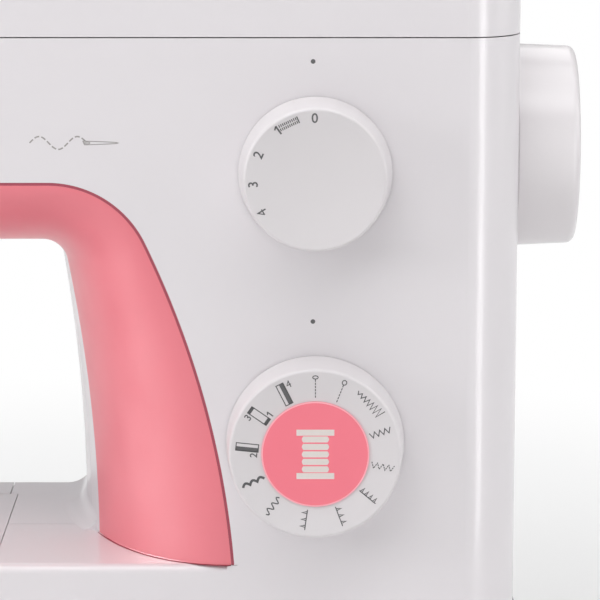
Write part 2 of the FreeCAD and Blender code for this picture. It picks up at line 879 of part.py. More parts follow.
def top_cover():
    low = seam_height + cover_gap
    outer = plan_prism(0, low, top_height)
    rim = [e for e in outer.Edges if e.BoundBox.ZMin > top_height - 1e-3]
    outer = outer.makeFillet(top_round, rim)
    cavity = plan_prism(wall, low - wall, top_height - wall)
    rim = [e for e in cavity.Edges if e.BoundBox.ZMin > top_height - wall - 1e-3]
    cavity = cavity.makeFillet(top_round - wall, rim)
    cover = outer.cut(cavity.cut(handle_recess(wall))).cut(handle_recess(0))
    pins = rod_x(handle_x - handle_length / 2 - wall, handle_x + handle_length / 2 + wall,
                 handle_y, handle_z, handle_pin + running_fit)
    under = top_height - wall / 2
    sleeve = rod_z(top_height - spool_sleeve, under, spool_x, spool_y, spool_radius + wall)
    post = rod_z(winder_arm_z - post_drop, under, winder_x, winder_pivot_y, post_radius)
    bore = rod_z(low - far, far, spool_x, spool_y, spool_radius + running_fit)
    clear = winder_spindle_radius + winder_slot_gap
    slot = box(winder_x - clear - fit_gap, winder_x + winder_gap + clear,
               winder_y - clear - winder_slot_gap, winder_y + clear + winder_slot_gap, low, far)
    return joined([cover, sleeve, post]).cut([pins, bore, slot])


def carry_handle():
    half = handle_length / 2 - fit_gap
    z0, z1 = handle_z - handle_thickness / 2, handle_z + handle_thickness / 2
    pieces = []
    for side in (-1, 1):
        x0, x1 = sorted((handle_x + side * half, handle_x + side * (half - handle_bar)))
        pieces.append(box(x0, x1, handle_y, handle_y + handle_reach, z0, z1))
        pieces.append(rod_x(x0, x1, handle_y, handle_z, handle_thickness / 2))
        p0, p1 = sorted((handle_x + side * (half - over), handle_x + side * (half + wall - 2 * fit_gap)))
        pieces.append(rod_x(p0, p1, handle_y, handle_z, handle_pin))
    bar = box(handle_x - half, handle_x + half, handle_y + handle_reach - 2 * handle_bar,
              handle_y + handle_reach, z0, z1)
    ends = [e for e in bar.Edges if upright(e) and e.CenterOfMass.y > handle_y + handle_reach - 1]
    pieces.append(bar.makeFillet(handle_bar, ends))
    pieces[0] = pieces[0].common(box(-far, far, -far, handle_y + handle_reach - handle_bar, -far, far))
    pieces[3] = pieces[3].common(box(-far, far, -far, handle_y + handle_reach - handle_bar, -far, far))
    return joined(pieces)


def spool_pin():
    felt_top = top_height + felt_height
    pin = rod_z(top_height - spool_length, felt_top + over, spool_x, spool_y, spool_radius)
    knob = rod_z(felt_top + fit_gap, felt_top + spool_knob_height, spool_x, spool_y, spool_knob)
    return joined([pin, knob])


def spool_felt():
    disc = rod_z(top_height, top_height + felt_height, spool_x, spool_y, felt_radius)
    bore = rod_z(top_height - over, top_height + 2 * felt_height, spool_x, spool_y, spool_radius + fit_gap)
    return disc.cut(bore)


def winder_arm():
    z0, z1 = winder_arm_z, winder_arm_z + winder_arm_height
    ends = [rod_z(z0, z1, winder_x, y, winder_eye) for y in (winder_y, winder_pivot_y)]
    bar = box(winder_x - winder_arm_half, winder_x + winder_arm_half, winder_y, winder_pivot_y, z0, z1)
    holes = [rod_z(z0 - over, z1 + over, winder_x, winder_y, winder_spindle_radius + running_fit),
             rod_z(z0 - over, z1 + over, winder_x, winder_pivot_y, post_radius + running_fit)]
    return joined(ends + [bar]).cut(holes)


def winder_spindle():
    pin = rod_z(winder_tyre_z, top_height + winder_reach, winder_x, winder_y, winder_spindle_radius)
    arm_top = winder_arm_z + winder_arm_height
    collar = rod_z(arm_top + fit_gap, arm_top + winder_collar_height, winder_x, winder_y,
                   2 * winder_spindle_radius)
    return joined([pin, collar])


def winder_tyre():
    tyre = rod_z(winder_tyre_z, winder_tyre_z + winder_tyre_height, winder_x, winder_y, winder_tyre_radius)
    bore = rod_z(winder_tyre_z - over, winder_arm_z, winder_x, winder_y, winder_spindle_radius + running_fit)
    return tyre.cut(bore)


def bearing_places():
    upper = [(x, shaft_z, shaft_radius) for x in upper_bearings]
    lower = [(x, lower_shaft_z, lower_shaft_radius) for x in lower_bearings]
    return upper + lower


def main_frame():
    bracket_x0 = bracket_x - bracket_sheet
    arm = box(bracket_x0, column_x1, frame_y0, frame_y1, shaft_z - frame_low, shaft_z + frame_high)
    column = box(column_x0, column_x1, frame_y0, frame_y1, plate_top, shaft_z)
    foot = box(column_x0, column_x1, frame_y1 - frame_foot, frame_y1,
               plate_top, plate_top + frame_foot_height)
    beam = box(needle_x - beam_half, column_x1, frame_y0, frame_y1,
               lower_shaft_z - beam_half, lower_shaft_z + beam_half)
    pieces = [arm, column, foot, beam]
    cuts = []
    for x, z, radius in bearing_places():
        reach = radius + bush_wall + bearing_wall
        pieces.append(box(x, x + bearing_width, shaft_y - reach, frame_y1, z - reach, z + reach))
        cuts.append(rod_x(x - over, x + bearing_width + over, shaft_y, z, radius + bush_wall))
    x0, x1 = needle_x - guide_half, needle_x + guide_half
    for z in presser_guides:
        pieces.append(box(x0, x1, presser_y - guide_reach, frame_y1, z, z + guide_height))
        bore = presser_radius + running_fit
        cuts.append(rod_z(z - over, z + guide_height + over, needle_x, presser_y, bore))
    pieces.append(box(x0, x1, frame_y0, frame_y1, presser_guides[0], shaft_z))
    pieces.append(rod_y(needle_y + needle_bar_radius + fit_gap, frame_y1, needle_x, swing_z, swing_pin))
    pieces.append(box(bracket_x0, bracket_x, take_up_y - guide_reach, frame_y1,
                      take_up_z - bracket_half, take_up_z + bracket_half))
    pieces.append(rod_x(take_up_x - over, bracket_x, take_up_y, take_up_z, take_up_pin))
    pieces.append(box(bracket_x0, bracket_x, lifter_y - lifter_eye, frame_y1, lifter_z - lifter_eye, shaft_z))
    pieces.append(rod_x(bracket_x - over, needle_x + lifter_pin_end, lifter_y, lifter_z, lifter_pin))
    low = free_arm_bottom + wall + fit_gap
    high = low + hook_bracket_sheet
    x0, x1 = needle_x - hook_bracket_half, needle_x + hook_bracket_half
    pieces.append(box(x0, x1, hook_y - hook_bracket_half, frame_y1, low, high))
    pieces.append(box(x0, x1, frame_y0, frame_y1, low, lower_shaft_z))
    pieces.append(box(needle_x + feed_bracket[0], needle_x + feed_bracket[1],
                      feed_front + feed_row_length / 2, frame_y1,
                      lower_shaft_z, feed_bar_z - feed_bar_height - fit_gap))
    cuts.append(rod_z(low - over, high + over, needle_x, hook_y, hook_shaft_radius + running_fit))
    return joined(pieces).cut(cuts)


def shaft_bushes():
    bushes = []
    for x, z, radius in bearing_places():
        ring = rod_x(x, x + bearing_width, shaft_y, z, radius + bush_wall)
        bushes.append(ring.cut(rod_x(x - over, x + bearing_width + over, shaft_y, z, radius + running_fit)))
    return Part.makeCompound(bushes)


def motor():
    can = rod_x(motor_x0, motor_x1, motor_y, motor_z, motor_radius)
    foot = box(motor_x0 + motor_foot, motor_x1 - motor_foot, motor_y - motor_foot, motor_y + motor_foot,
               plate_top, motor_z)
    shaft = rod_x(motor_x1, drive_pulley_x + drive_pulley_width, motor_y, motor_z, motor_shaft)
    return joined([can, foot, shaft])


def motor_pulley():
    x0, x1 = drive_pulley_x, drive_pulley_x + drive_pulley_width
    wheel = rod_x(x0, x1, motor_y, motor_z, motor_pulley_radius)
    return wheel.cut(rod_x(x0 - over, x1 + over, motor_y, motor_z, motor_shaft + running_fit))


def motor_belt():
    x0 = drive_pulley_x + belt_margin
    x1 = drive_pulley_x + drive_pulley_width - belt_margin
    return belt(x0, x1, shaft_y, shaft_z, drive_pulley_radius, motor_y, motor_z, motor_pulley_radius)


def timing_belt():
    x0, x1 = timing_x + belt_margin, timing_x + timing_width - belt_margin
    return belt(x0, x1, shaft_y, shaft_z, timing_radius, shaft_y, lower_shaft_z, timing_radius)


# Needle bar in its swinging frame
def needle_bar_frame():
    y0 = needle_y + needle_bar_radius + 2 * fit_gap
    y1 = y0 + swing_plate
    x0, x1 = needle_x - swing_half, needle_x + swing_half
    plate = box(x0, x1, y0, y1, lug_levels[0], swing_z)
    eye = rod_y(y0, y1, needle_x, swing_z, swing_half)
    lugs = [box(x0, x1, needle_y - swing_half, y1, z, z + lug_height) for z in lug_levels]
    bores = [rod_z(z - over, z + lug_height + over, needle_x, needle_y, needle_bar_radius + running_fit)
             for z in lug_levels]
    pivot = rod_y(y0 - over, y1 + over, needle_x, swing_z, swing_pin + running_fit)
    return joined([plate, eye] + lugs).cut(bores + [pivot])


def needle_bar():
    return rod_z(needle_bar_bottom, needle_bar_top, needle_x, needle_y, needle_bar_radius)


def needle_clamp():
    z1 = needle_bar_bottom + clamp_height / 2
    z0 = z1 - clamp_height
    body = rod_z(z0, z1, needle_x, needle_y, clamp_radius)
    seat = rod_z(needle_bar_bottom, z1 + over, needle_x, needle_y, needle_bar_radius + running_fit)
    hole = rod_z(z0 - over, z1, needle_x, needle_y, needle_shank + running_fit)
    screw = rod_x(needle_x + clamp_radius - over, needle_x + clamp_radius + clamp_screw_length,
                  needle_y, z0 + clamp_screw_rise, clamp_screw)
    return joined([body, screw]).cut([seat, hole])


def needle():
    shank_z = needle_bar_bottom - clamp_height / 2 - needle_shank_drop
    shank = rod_z(shank_z, needle_bar_bottom, needle_x, needle_y, needle_shank)
    blade = rod_z(needle_tip_z + needle_point, shank_z, needle_x, needle_y, needle_radius)
    place = V(needle_x, needle_y, needle_tip_z)
    tip = Part.makeCone(needle_point_end, needle_radius, needle_point, place, V(0, 0, 1))
    return joined([shank, blade, tip])


def take_up_lever():
    reach = y_front - take_up_reach
    x0, x1 = take_up_x, take_up_x + take_up_width
    bar = box(x0, x1, reach, take_up_y, take_up_z - take_up_height / 2, take_up_z + take_up_height / 2)
    eye = rod_x(x0, x1, take_up_y, take_up_z, take_up_eye)
    tip = rod_x(x0, x1, reach, take_up_z, take_up_tip)
    holes = [rod_x(x0 - over, x1 + over, take_up_y, take_up_z, take_up_pin + running_fit),
             rod_x(x0 - over, x1 + over, reach, take_up_z, thread_hole)]
    return joined([bar, eye, tip]).cut(holes)


def presser_bar():
    bar = rod_z(presser_bottom, presser_top, needle_x, presser_y, presser_radius)
    collar = rod_z(collar_z, collar_z + collar_height, needle_x, presser_y, presser_radius + presser_collar)
    return joined([bar, collar])


def presser_spring():
    z0 = collar_z + collar_height
    z1 = presser_guides[1]
    sleeve = rod_z(z0, z1, needle_x, presser_y, presser_radius + presser_collar)
    return sleeve.cut(rod_z(z0 - over, z1 + over, needle_x, presser_y, presser_radius + fit_gap))


def presser_foot():
    z0 = bed_height + foot_gap
    z1 = z0 + foot_sole
    y1 = presser_y + foot_rear
    y0 = y1 - foot_length
    screw_z = presser_bottom + ankle_screw_rise
    ankle_top = presser_bottom + ankle_rise
    sole = box(needle_x - foot_width / 2, needle_x + foot_width / 2, y0, y1, z0, z1)
    slot = box(needle_x - foot_slot_half, needle_x + foot_slot_half, needle_y - foot_slot_width / 2,
               needle_y + foot_slot_width / 2, z0 - over, z1 + over)
    split = box(needle_x - foot_split / 2, needle_x + foot_split / 2, y0 - over, needle_y,
                z0 - over, z1 + over)
    ankle = box(needle_x - ankle_half, needle_x + ankle_half, presser_y - foot_rear, y1, z1, ankle_top)
    seat = rod_z(presser_bottom, ankle_top + over, needle_x, presser_y, presser_radius + running_fit)
    screw = rod_x(needle_x - ankle_screw_reach, needle_x - ankle_screw_seat, presser_y, screw_z, ankle_screw)
    return joined([sole.cut([slot, split]), ankle.cut(seat), screw.cut(seat)])


def presser_lifter():
    x0, x1 = needle_x - lifter_half, needle_x + lifter_half
    eye = rod_x(x0, x1, lifter_y, lifter_z, lifter_eye)
    arm = box(x0, x1, lifter_y, lifter_end, lifter_z - lifter_arm_half, lifter_z + lifter_arm_half)
    nose_y = presser_y + presser_radius + lifter_half
    nose = box(x0, x1, nose_y, lifter_y, lifter_z - lifter_half, lifter_z + lifter_half)
    bore = rod_x(x0 - over, x1 + over, lifter_y, lifter_z, lifter_pin + running_fit)
    return joined([eye, arm, nose]).cut(bore)


def tension_dial():
    y = y_front - dial_gap
    knob = rod_y(y - tension_height, y, tension_x, tension_z, tension_radius)
    stem = rod_y(y, y_front + tension_stem, tension_x, tension_z, dial_shaft_radius)
    return joined([knob, stem])


def tension_discs():
    discs = []
    for disc in range(2):
        y0 = y_front + wall + disc * tension_sheet
        y1 = y0 + tension_sheet
        plate = rod_y(y0, y1, tension_x, tension_z, tension_radius - tension_step * disc)
        bore = rod_y(y0 - over, y1 + over, tension_x, tension_z, dial_shaft_radius + running_fit)
        discs.append(plate.cut(bore))
    return Part.makeCompound(discs)


def reverse_lever():
    z0, z1 = reverse_z - reverse_height / 2, reverse_z + reverse_height / 2
    half = reverse_width / 2
    pad = box(dial_x - half, dial_x + half, y_front - reverse_reach, reverse_pivot_y, z0, z1)
    front = [e for e in pad.Edges if e.BoundBox.YMax < y_front - reverse_reach + fit_gap
             and e.BoundBox.XLength > half]
    pad = pad.makeFillet(edge_round, front)
    pin_half = half + reverse_pin_end
    pin = rod_x(dial_x - pin_half, dial_x + pin_half, reverse_pivot_y, reverse_z, reverse_pin)
    eye = rod_x(dial_x - half, dial_x + half, reverse_pivot_y, reverse_z, reverse_height / 2)
    return joined([pad, pin, eye])


def reverse_ears():
    half = reverse_width / 2
    ears = []
    for side in (-1, 1):
        x0, x1 = sorted((dial_x + side * (half + fit_gap), dial_x + side * (half + ear_reach)))
        ear = box(x0, x1, y_front + wall / 2, reverse_pivot_y + ear_half,
                  reverse_z - ear_half, reverse_z + ear_half)
        bore = rod_x(x0 - over, x1 + over, reverse_pivot_y, reverse_z, reverse_pin + running_fit)
        ears.append(ear.cut(bore))
    return ears


# Mains inlet and rocker switch, on the right side in front of the parting line
def power_inlet():
    y0, y1 = socket_y0, socket_y1
    x0, x1 = x_right - socket_depth, x_right + inlet_proud
    z0, z1 = inlet_z0, inlet_z0 + inlet_height
    block = box(x0, x1, y0, y1, z0, z1)
    well = box(x0 + wall, x1 + over, y0 + wall, y1 - wall, z0 + wall, z1 - wall)
    pins = [rod_x(x0, x_right - inlet_pin_end, y, (z0 + z1) / 2, inlet_pin)
            for y in ((3 * y0 + y1) / 4, (y0 + 3 * y1) / 4)]
    return joined([block.cut(well)] + pins)


def power_switch():
    y0, y1 = socket_y0 + rocker_side, socket_y1 - rocker_side
    x0, x1 = x_right - rocker_depth, x_right + rocker_proud
    z0, z1 = switch_z0 + rocker_ends, switch_z0 + switch_height - rocker_ends
    cap = box(x0, x1, y0, y1, z0, z1)
    pin = rod_y(y0 - switch_side, y1 + switch_side, x0, (z0 + z1) / 2, rocker_pin)
    return joined([cap, pin])


def switch_frame():
    y0, y1 = socket_y0, socket_y1
    x0, x1 = x_right - socket_depth, x_right + switch_proud
    z0, z1 = switch_z0, switch_z0 + switch_height
    block = box(x0, x1, y0, y1, z0, z1)
    well = box(x0 + wall, x1 + over, y0 + switch_side, y1 - switch_side, z0 + switch_ends, z1 - switch_ends)
    pin = rod_y(y0 + fit_gap, y1 - fit_gap, x_right - rocker_depth, (z0 + z1) / 2, rocker_pin + running_fit)
    return block.cut([well, pin])


def accessory_tray():
    z0 = plate_top + fit_gap
    outer = box(x_left, x_base - tray_gap, y_front, y_rear, z0, bed_height)
    ends = [e for e in outer.Edges if upright(e) and e.CenterOfMass.x < x_left + 1]
    outer = outer.makeFillet(left_corner, ends)
    slot = box(x_arm_end - tray_gap, x_base, -free_arm_front - tray_gap, free_arm_rear + tray_gap,
               z0 - over, bed_height + over)
    room_x0, room_x1 = x_left + wall + tray_nose, x_base - tray_gap - wall
    room_top = bed_height - wall
    front_room = box(room_x0, room_x1, y_front + wall, -free_arm_front - tray_gap - wall, z0 + wall, room_top)
    rear_room = box(room_x0, room_x1, free_arm_rear + tray_gap + wall, y_rear - wall, z0 - over, room_top)
    door = box(lid_x0 - fit_gap, lid_x1 + fit_gap, y_front - over, y_front + 2 * wall,
               lid_z0 - fit_gap, lid_z1 + fit_gap)
    pin = rod_x(lid_x0 - wall, lid_x1 + wall, y_front + wall / 2, lid_z0 + wall / 2, lid_pin + running_fit)
    return outer.cut([slot, front_room, rear_room, door, pin])


def tray_lid():
    y = y_front + wall / 2
    z = lid_z0 + wall / 2
    flap = box(lid_x0, lid_x1, y_front, y_front + wall, z, lid_z1)
    knuckle = rod_x(lid_x0, lid_x1, y, z, wall / 2)
    pin = rod_x(lid_x0 - wall + fit_gap, lid_x1 + wall - fit_gap, y, z, lid_pin)
    return joined([flap, knuckle, pin])


def lamp():
    z0 = head_bottom + wall
    half_x, half_y = lamp_half
    holder = box(lamp_x - half_x, lamp_x + half_x, lamp_y - half_y, lamp_y + half_y, z0, z0 + lamp_height)
    return joined([holder, rod_z(head_bottom, z0, lamp_x, lamp_y, lamp_lens)])


def casing_screws():
    screws = []
    left, right = x_head + screw_insets[0], x_right - screw_insets[1]
    top = shaft_z + screw_rise
    places = [(left, shaft_z - screw_drops[0]), (left, top)]
    places += [(right, bed_height - screw_drops[1]), (right, top)]
    for x, z in places:
        screws.append(rod_y(y_rear, y_rear + screw_proud, x, z, screw_head))
    for x, y in plate_screw_places():
        head = rod_z(bed_height, bed_height + plate_screw_height, x, y, plate_screw_head)
        shank = rod_z(bed_height - plate_screw_length, bed_height, x, y, plate_screw_shank)
        screws.append(joined([head, shank]))
    return Part.makeCompound(screws)


# Cuts that let the bars, the lifter and the mains parts through the covers
def cover_cuts():
    bars = box(needle_x - bars_half, needle_x + bars_half, needle_y - bars_front, presser_y + bars_rear,
               head_bottom - wall, head_bottom + 2 * wall)
    lifter = box(needle_x - lifter_slot_half, needle_x + lifter_slot_half, y_rear - 2 * wall, y_rear + wall,
                 lifter_z - lifter_slot_half, lifter_z + lifter_slot_rise)
    lamp_hole = rod_z(head_bottom - wall, head_bottom + 2 * wall, lamp_x, lamp_y, lamp_lens + running_fit)
    sill = box(x_base - wall, x_base + 2 * wall, y_front + wall, y_rear - wall, 0, plate_top + fit_gap)
    sockets = [box(x_right - 2 * wall, x_right + wall, socket_y0 - fit_gap, socket_y1 + fit_gap,
                   z - fit_gap, z + height + fit_gap)
               for z, height in ((inlet_z0, inlet_height), (switch_z0, switch_height))]
    return [bars, lifter, lamp_hole, sill] + sockets


def build():
    front, rear, face = half_covers()
    cuts = cover_cuts()
    front = joined([front.cut(cuts)] + reverse_ears())
    return {
        "front_cover": front,
        "rear_cover": rear.cut(cuts),
        "face_cover": face,
        "top_cover": top_cover(),
        "throat_panel": throat_panel(),
        "base_plate": base_plate(),
        "rubber_feet": rubber_feet(),
        "free_arm": free_arm(),
        "main_frame": main_frame(),
        "shaft_bushes": shaft_bushes(),
        "needle_plate": needle_plate(),
        "bobbin_cover": bobbin_cover(),
        "feed_dog": feed_dog(),
        "feed_bar": feed_bar(),
        "rotary_hook": rotary_hook(),
        "hook_gear": hook_gear(),
        "bobbin_case": bobbin_case(),
        "bobbin": bobbin(),
        "main_shaft": main_shaft(),
        "crank_disc": crank_disc(),
        "upper_timing_pulley": timing_pulley(shaft_z, shaft_radius),
        "lower_timing_pulley": timing_pulley(lower_shaft_z, lower_shaft_radius),
        "timing_belt": timing_belt(),
        "lower_shaft": lower_shaft(),
        "hook_drive_gear": hook_drive_gear(),
        "drive_pulley": drive_pulley(),
        "handwheel": handwheel(),
        "motor": motor(),
        "motor_pulley": motor_pulley(),
        "motor_belt": motor_belt(),
        "stitch_length_dial": stitch_length_dial(),
        "length_cam": length_cam(),
        "pattern_dial": pattern_dial(),
        "pattern_dial_cap": pattern_dial_cap(),
        "pattern_cams": pattern_cams(),
        "reverse_lever": reverse_lever(),
        "tension_dial": tension_dial(),
        "tension_discs": tension_discs(),
        "needle_bar_frame": needle_bar_frame(),
        "needle_bar": needle_bar(),
        "needle_clamp": needle_clamp(),
        "needle": needle(),
        "take_up_lever": take_up_lever(),
        "presser_bar": presser_bar(),
        "presser_foot": presser_foot(),
        "presser_spring": presser_spring(),
        "presser_lifter": presser_lifter(),
        "carry_handle": carry_handle(),
        "spool_pin": spool_pin(),
        "spool_felt": spool_felt(),
        "winder_arm": winder_arm(),
        "winder_spindle": winder_spindle(),
        "winder_tyre": winder_tyre(),
        "power_switch": power_switch(),
        "switch_frame": switch_frame(),
        "power_inlet": power_inlet(),
        "accessory_tray": accessory_tray(),
        "tray_lid": tray_lid(),
        "lamp": lamp(),
        "casing_screws": casing_screws(),
    }


os.makedirs("parts", exist_ok=True)
for name, shape in build().items():
    if not shape.isValid():
        print("not valid:", name)
    shape.exportStep("parts/" + name + ".step")
    print(name, len(shape.Solids), round(shape.Volume, 1))
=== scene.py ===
import math

import bmesh
import bpy
import numpy as np
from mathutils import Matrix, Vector


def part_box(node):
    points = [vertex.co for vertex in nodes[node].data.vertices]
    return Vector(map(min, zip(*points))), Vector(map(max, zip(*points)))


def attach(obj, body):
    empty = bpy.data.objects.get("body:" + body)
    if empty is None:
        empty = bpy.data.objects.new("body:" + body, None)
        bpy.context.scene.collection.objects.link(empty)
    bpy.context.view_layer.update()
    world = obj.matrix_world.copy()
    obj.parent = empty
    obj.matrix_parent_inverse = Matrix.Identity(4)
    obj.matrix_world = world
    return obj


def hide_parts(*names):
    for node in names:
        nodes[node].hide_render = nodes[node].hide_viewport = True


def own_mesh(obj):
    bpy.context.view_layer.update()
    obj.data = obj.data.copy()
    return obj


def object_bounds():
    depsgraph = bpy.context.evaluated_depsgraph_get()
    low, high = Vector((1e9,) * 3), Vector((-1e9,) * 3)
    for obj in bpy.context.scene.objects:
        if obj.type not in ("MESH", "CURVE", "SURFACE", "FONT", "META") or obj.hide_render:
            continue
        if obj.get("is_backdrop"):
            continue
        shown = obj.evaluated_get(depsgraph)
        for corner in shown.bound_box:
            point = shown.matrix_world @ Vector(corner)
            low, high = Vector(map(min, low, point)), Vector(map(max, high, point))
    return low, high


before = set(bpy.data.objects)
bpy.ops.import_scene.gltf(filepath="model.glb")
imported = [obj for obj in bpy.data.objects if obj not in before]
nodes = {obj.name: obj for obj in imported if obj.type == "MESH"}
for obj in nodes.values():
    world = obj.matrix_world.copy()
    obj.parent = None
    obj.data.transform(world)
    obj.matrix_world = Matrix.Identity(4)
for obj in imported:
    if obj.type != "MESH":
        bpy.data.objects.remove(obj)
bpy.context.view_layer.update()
mm = 0.001
print("frame loaded:", len(nodes), "nodes")


# colours are written as 0-255 display values and turned into linear light
def tint(red, green, blue):
    c = np.array([red, green, blue]) / 255.0
    lin = np.where(c <= 0.04045, c / 12.92, ((c + 0.055) / 1.055) ** 2.4)
    return (float(lin[0]), float(lin[1]), float(lin[2]), 1.0)


def addNode(tree, kind, **values):
    node = tree.nodes.new(kind)
    for key, value in values.items():
        setattr(node, key, value)
    return node


def newMaterial(name):
    mat = bpy.data.materials.new(name)
    mat.use_nodes = True
    tree = mat.node_tree
    tree.nodes.clear()
    out = addNode(tree, "ShaderNodeOutputMaterial")
    shader = addNode(tree, "ShaderNodeBsdfPrincipled")
    tree.links.new(shader.outputs[0], out.inputs[0])
    coords = addNode(tree, "ShaderNodeTexCoord")
    return mat, tree, shader, coords.outputs["Object"]


def noiseOn(tree, place, scale, detail=3.0, rough=0.5):
    noise = addNode(tree, "ShaderNodeTexNoise")
    noise.inputs["Scale"].default_value = scale
    noise.inputs["Detail"].default_value = detail
    noise.inputs["Roughness"].default_value = rough
    tree.links.new(place, noise.inputs["Vector"])
    return noise.outputs["Fac"]


noiseRange = (0.3, 0.7)  # most of a noise's values lie between these


def spread(tree, value, low, high):
    ramp = addNode(tree, "ShaderNodeMapRange")
    ramp.inputs["From Min"].default_value = noiseRange[0]
    ramp.inputs["From Max"].default_value = noiseRange[1]
    ramp.inputs["To Min"].default_value = low
    ramp.inputs["To Max"].default_value = high
    tree.links.new(value, ramp.inputs["Value"])
    return ramp.outputs[0]


def blendTints(tree, value, a, b):
    mix = addNode(tree, "ShaderNodeMix", data_type="RGBA")
    mix.inputs[6].default_value = a
    mix.inputs[7].default_value = b
    tree.links.new(value, mix.inputs[0])
    return mix.outputs[2]


def addBump(tree, shader, height, strength, distance):
    bump = addNode(tree, "ShaderNodeBump")
    bump.inputs["Strength"].default_value = strength
    bump.inputs["Distance"].default_value = distance
    tree.links.new(height, bump.inputs["Height"])
    tree.links.new(bump.outputs[0], shader.inputs["Normal"])


# Materials: noise scales are in cycles per metre, bump depths in metres
plasticSet = {"cloud": 14.0, "cloudDetail": 4.0, "gloss": 60.0, "duller": 0.05, "glossier": 0.04,
              "grain": 1400.0, "grainDetail": 2.0, "deep": 0.00004, "coatRough": 0.12}
metalSet = {"streak": 900.0, "duller": 0.08, "glossier": 0.05, "bump": 0.15, "deep": 0.00003}
rubberSet = {"cloud": 220.0, "gloss": 500.0, "rough": (0.6, 0.85), "grain": 1800.0, "bump": 0.3,
             "deep": 0.00006}
clearSet = {"through": 0.92, "bend": 1.49, "gloss": 90.0, "rough": (0.04, 0.12)}
inkSet = {"cloud": 900.0, "rough": 0.55}
feltSet = {"fibre": 1600.0, "detail": 6.0, "tangle": 0.7, "bump": 0.8, "deep": 0.0003, "rough": 0.95}


# moulded plastic: faint cloudy colour, uneven gloss and a fine moulded grain
def mouldedPlastic(name, light, dark, rough, grain, coat=0.0):
    mat, tree, shader, place = newMaterial(name)
    cloud = noiseOn(tree, place, plasticSet["cloud"], plasticSet["cloudDetail"])
    tree.links.new(blendTints(tree, cloud, dark, light), shader.inputs["Base Color"])
    gloss = noiseOn(tree, place, plasticSet["gloss"])
    gloss = spread(tree, gloss, rough - plasticSet["glossier"], rough + plasticSet["duller"])
    tree.links.new(gloss, shader.inputs["Roughness"])
    grains = noiseOn(tree, place, plasticSet["grain"], plasticSet["grainDetail"])
    addBump(tree, shader, grains, grain, plasticSet["deep"])
    shader.inputs["Coat Weight"].default_value = coat
    shader.inputs["Coat Roughness"].default_value = plasticSet["coatRough"]
    return mat


# bare metal: bright base with streaks drawn out along one axis
def drawnMetal(name, light, dark, rough, stretch):
    mat, tree, shader, place = newMaterial(name)
    mapping = addNode(tree, "ShaderNodeMapping")
    mapping.inputs["Scale"].default_value = stretch
    tree.links.new(place, mapping.inputs["Vector"])
    streak = noiseOn(tree, mapping.outputs[0], metalSet["streak"])
    tree.links.new(blendTints(tree, streak, dark, light), shader.inputs["Base Color"])
    gloss = spread(tree, streak, rough - metalSet["glossier"], rough + metalSet["duller"])
    tree.links.new(gloss, shader.inputs["Roughness"])
    addBump(tree, shader, streak, metalSet["bump"], metalSet["deep"])
    shader.inputs["Metallic"].default_value = 1.0
    return mat


# rubber: dark, dull and finely pitted
def mattRubber(name, light, dark):
    mat, tree, shader, place = newMaterial(name)
    cloud = noiseOn(tree, place, rubberSet["cloud"])
    tree.links.new(blendTints(tree, cloud, dark, light), shader.inputs["Base Color"])
    gloss = spread(tree, noiseOn(tree, place, rubberSet["gloss"]), *rubberSet["rough"])
    tree.links.new(gloss, shader.inputs["Roughness"])
    addBump(tree, shader, noiseOn(tree, place, rubberSet["grain"]), rubberSet["bump"], rubberSet["deep"])
    return mat


def clearPlastic(name, colour):
    mat, tree, shader, place = newMaterial(name)
    shader.inputs["Base Color"].default_value = colour
    shader.inputs["Transmission Weight"].default_value = clearSet["through"]
    shader.inputs["IOR"].default_value = clearSet["bend"]
    gloss = spread(tree, noiseOn(tree, place, clearSet["gloss"]), *clearSet["rough"])
    tree.links.new(gloss, shader.inputs["Roughness"])
    return mat


def printedInk(name, light, dark):
    mat, tree, shader, place = newMaterial(name)
    cloud = noiseOn(tree, place, inkSet["cloud"])
    tree.links.new(blendTints(tree, cloud, dark, light), shader.inputs["Base Color"])
    shader.inputs["Roughness"].default_value = inkSet["rough"]
    return mat


# felt: tangled fibres that stand off the surface
def feltCloth(name, light, dark):
    mat, tree, shader, place = newMaterial(name)
    fibre = noiseOn(tree, place, feltSet["fibre"], feltSet["detail"], feltSet["tangle"])
    tree.links.new(blendTints(tree, fibre, dark, light), shader.inputs["Base Color"])
    addBump(tree, shader, fibre, feltSet["bump"], feltSet["deep"])
    shader.inputs["Roughness"].default_value = feltSet["rough"]
    return mat


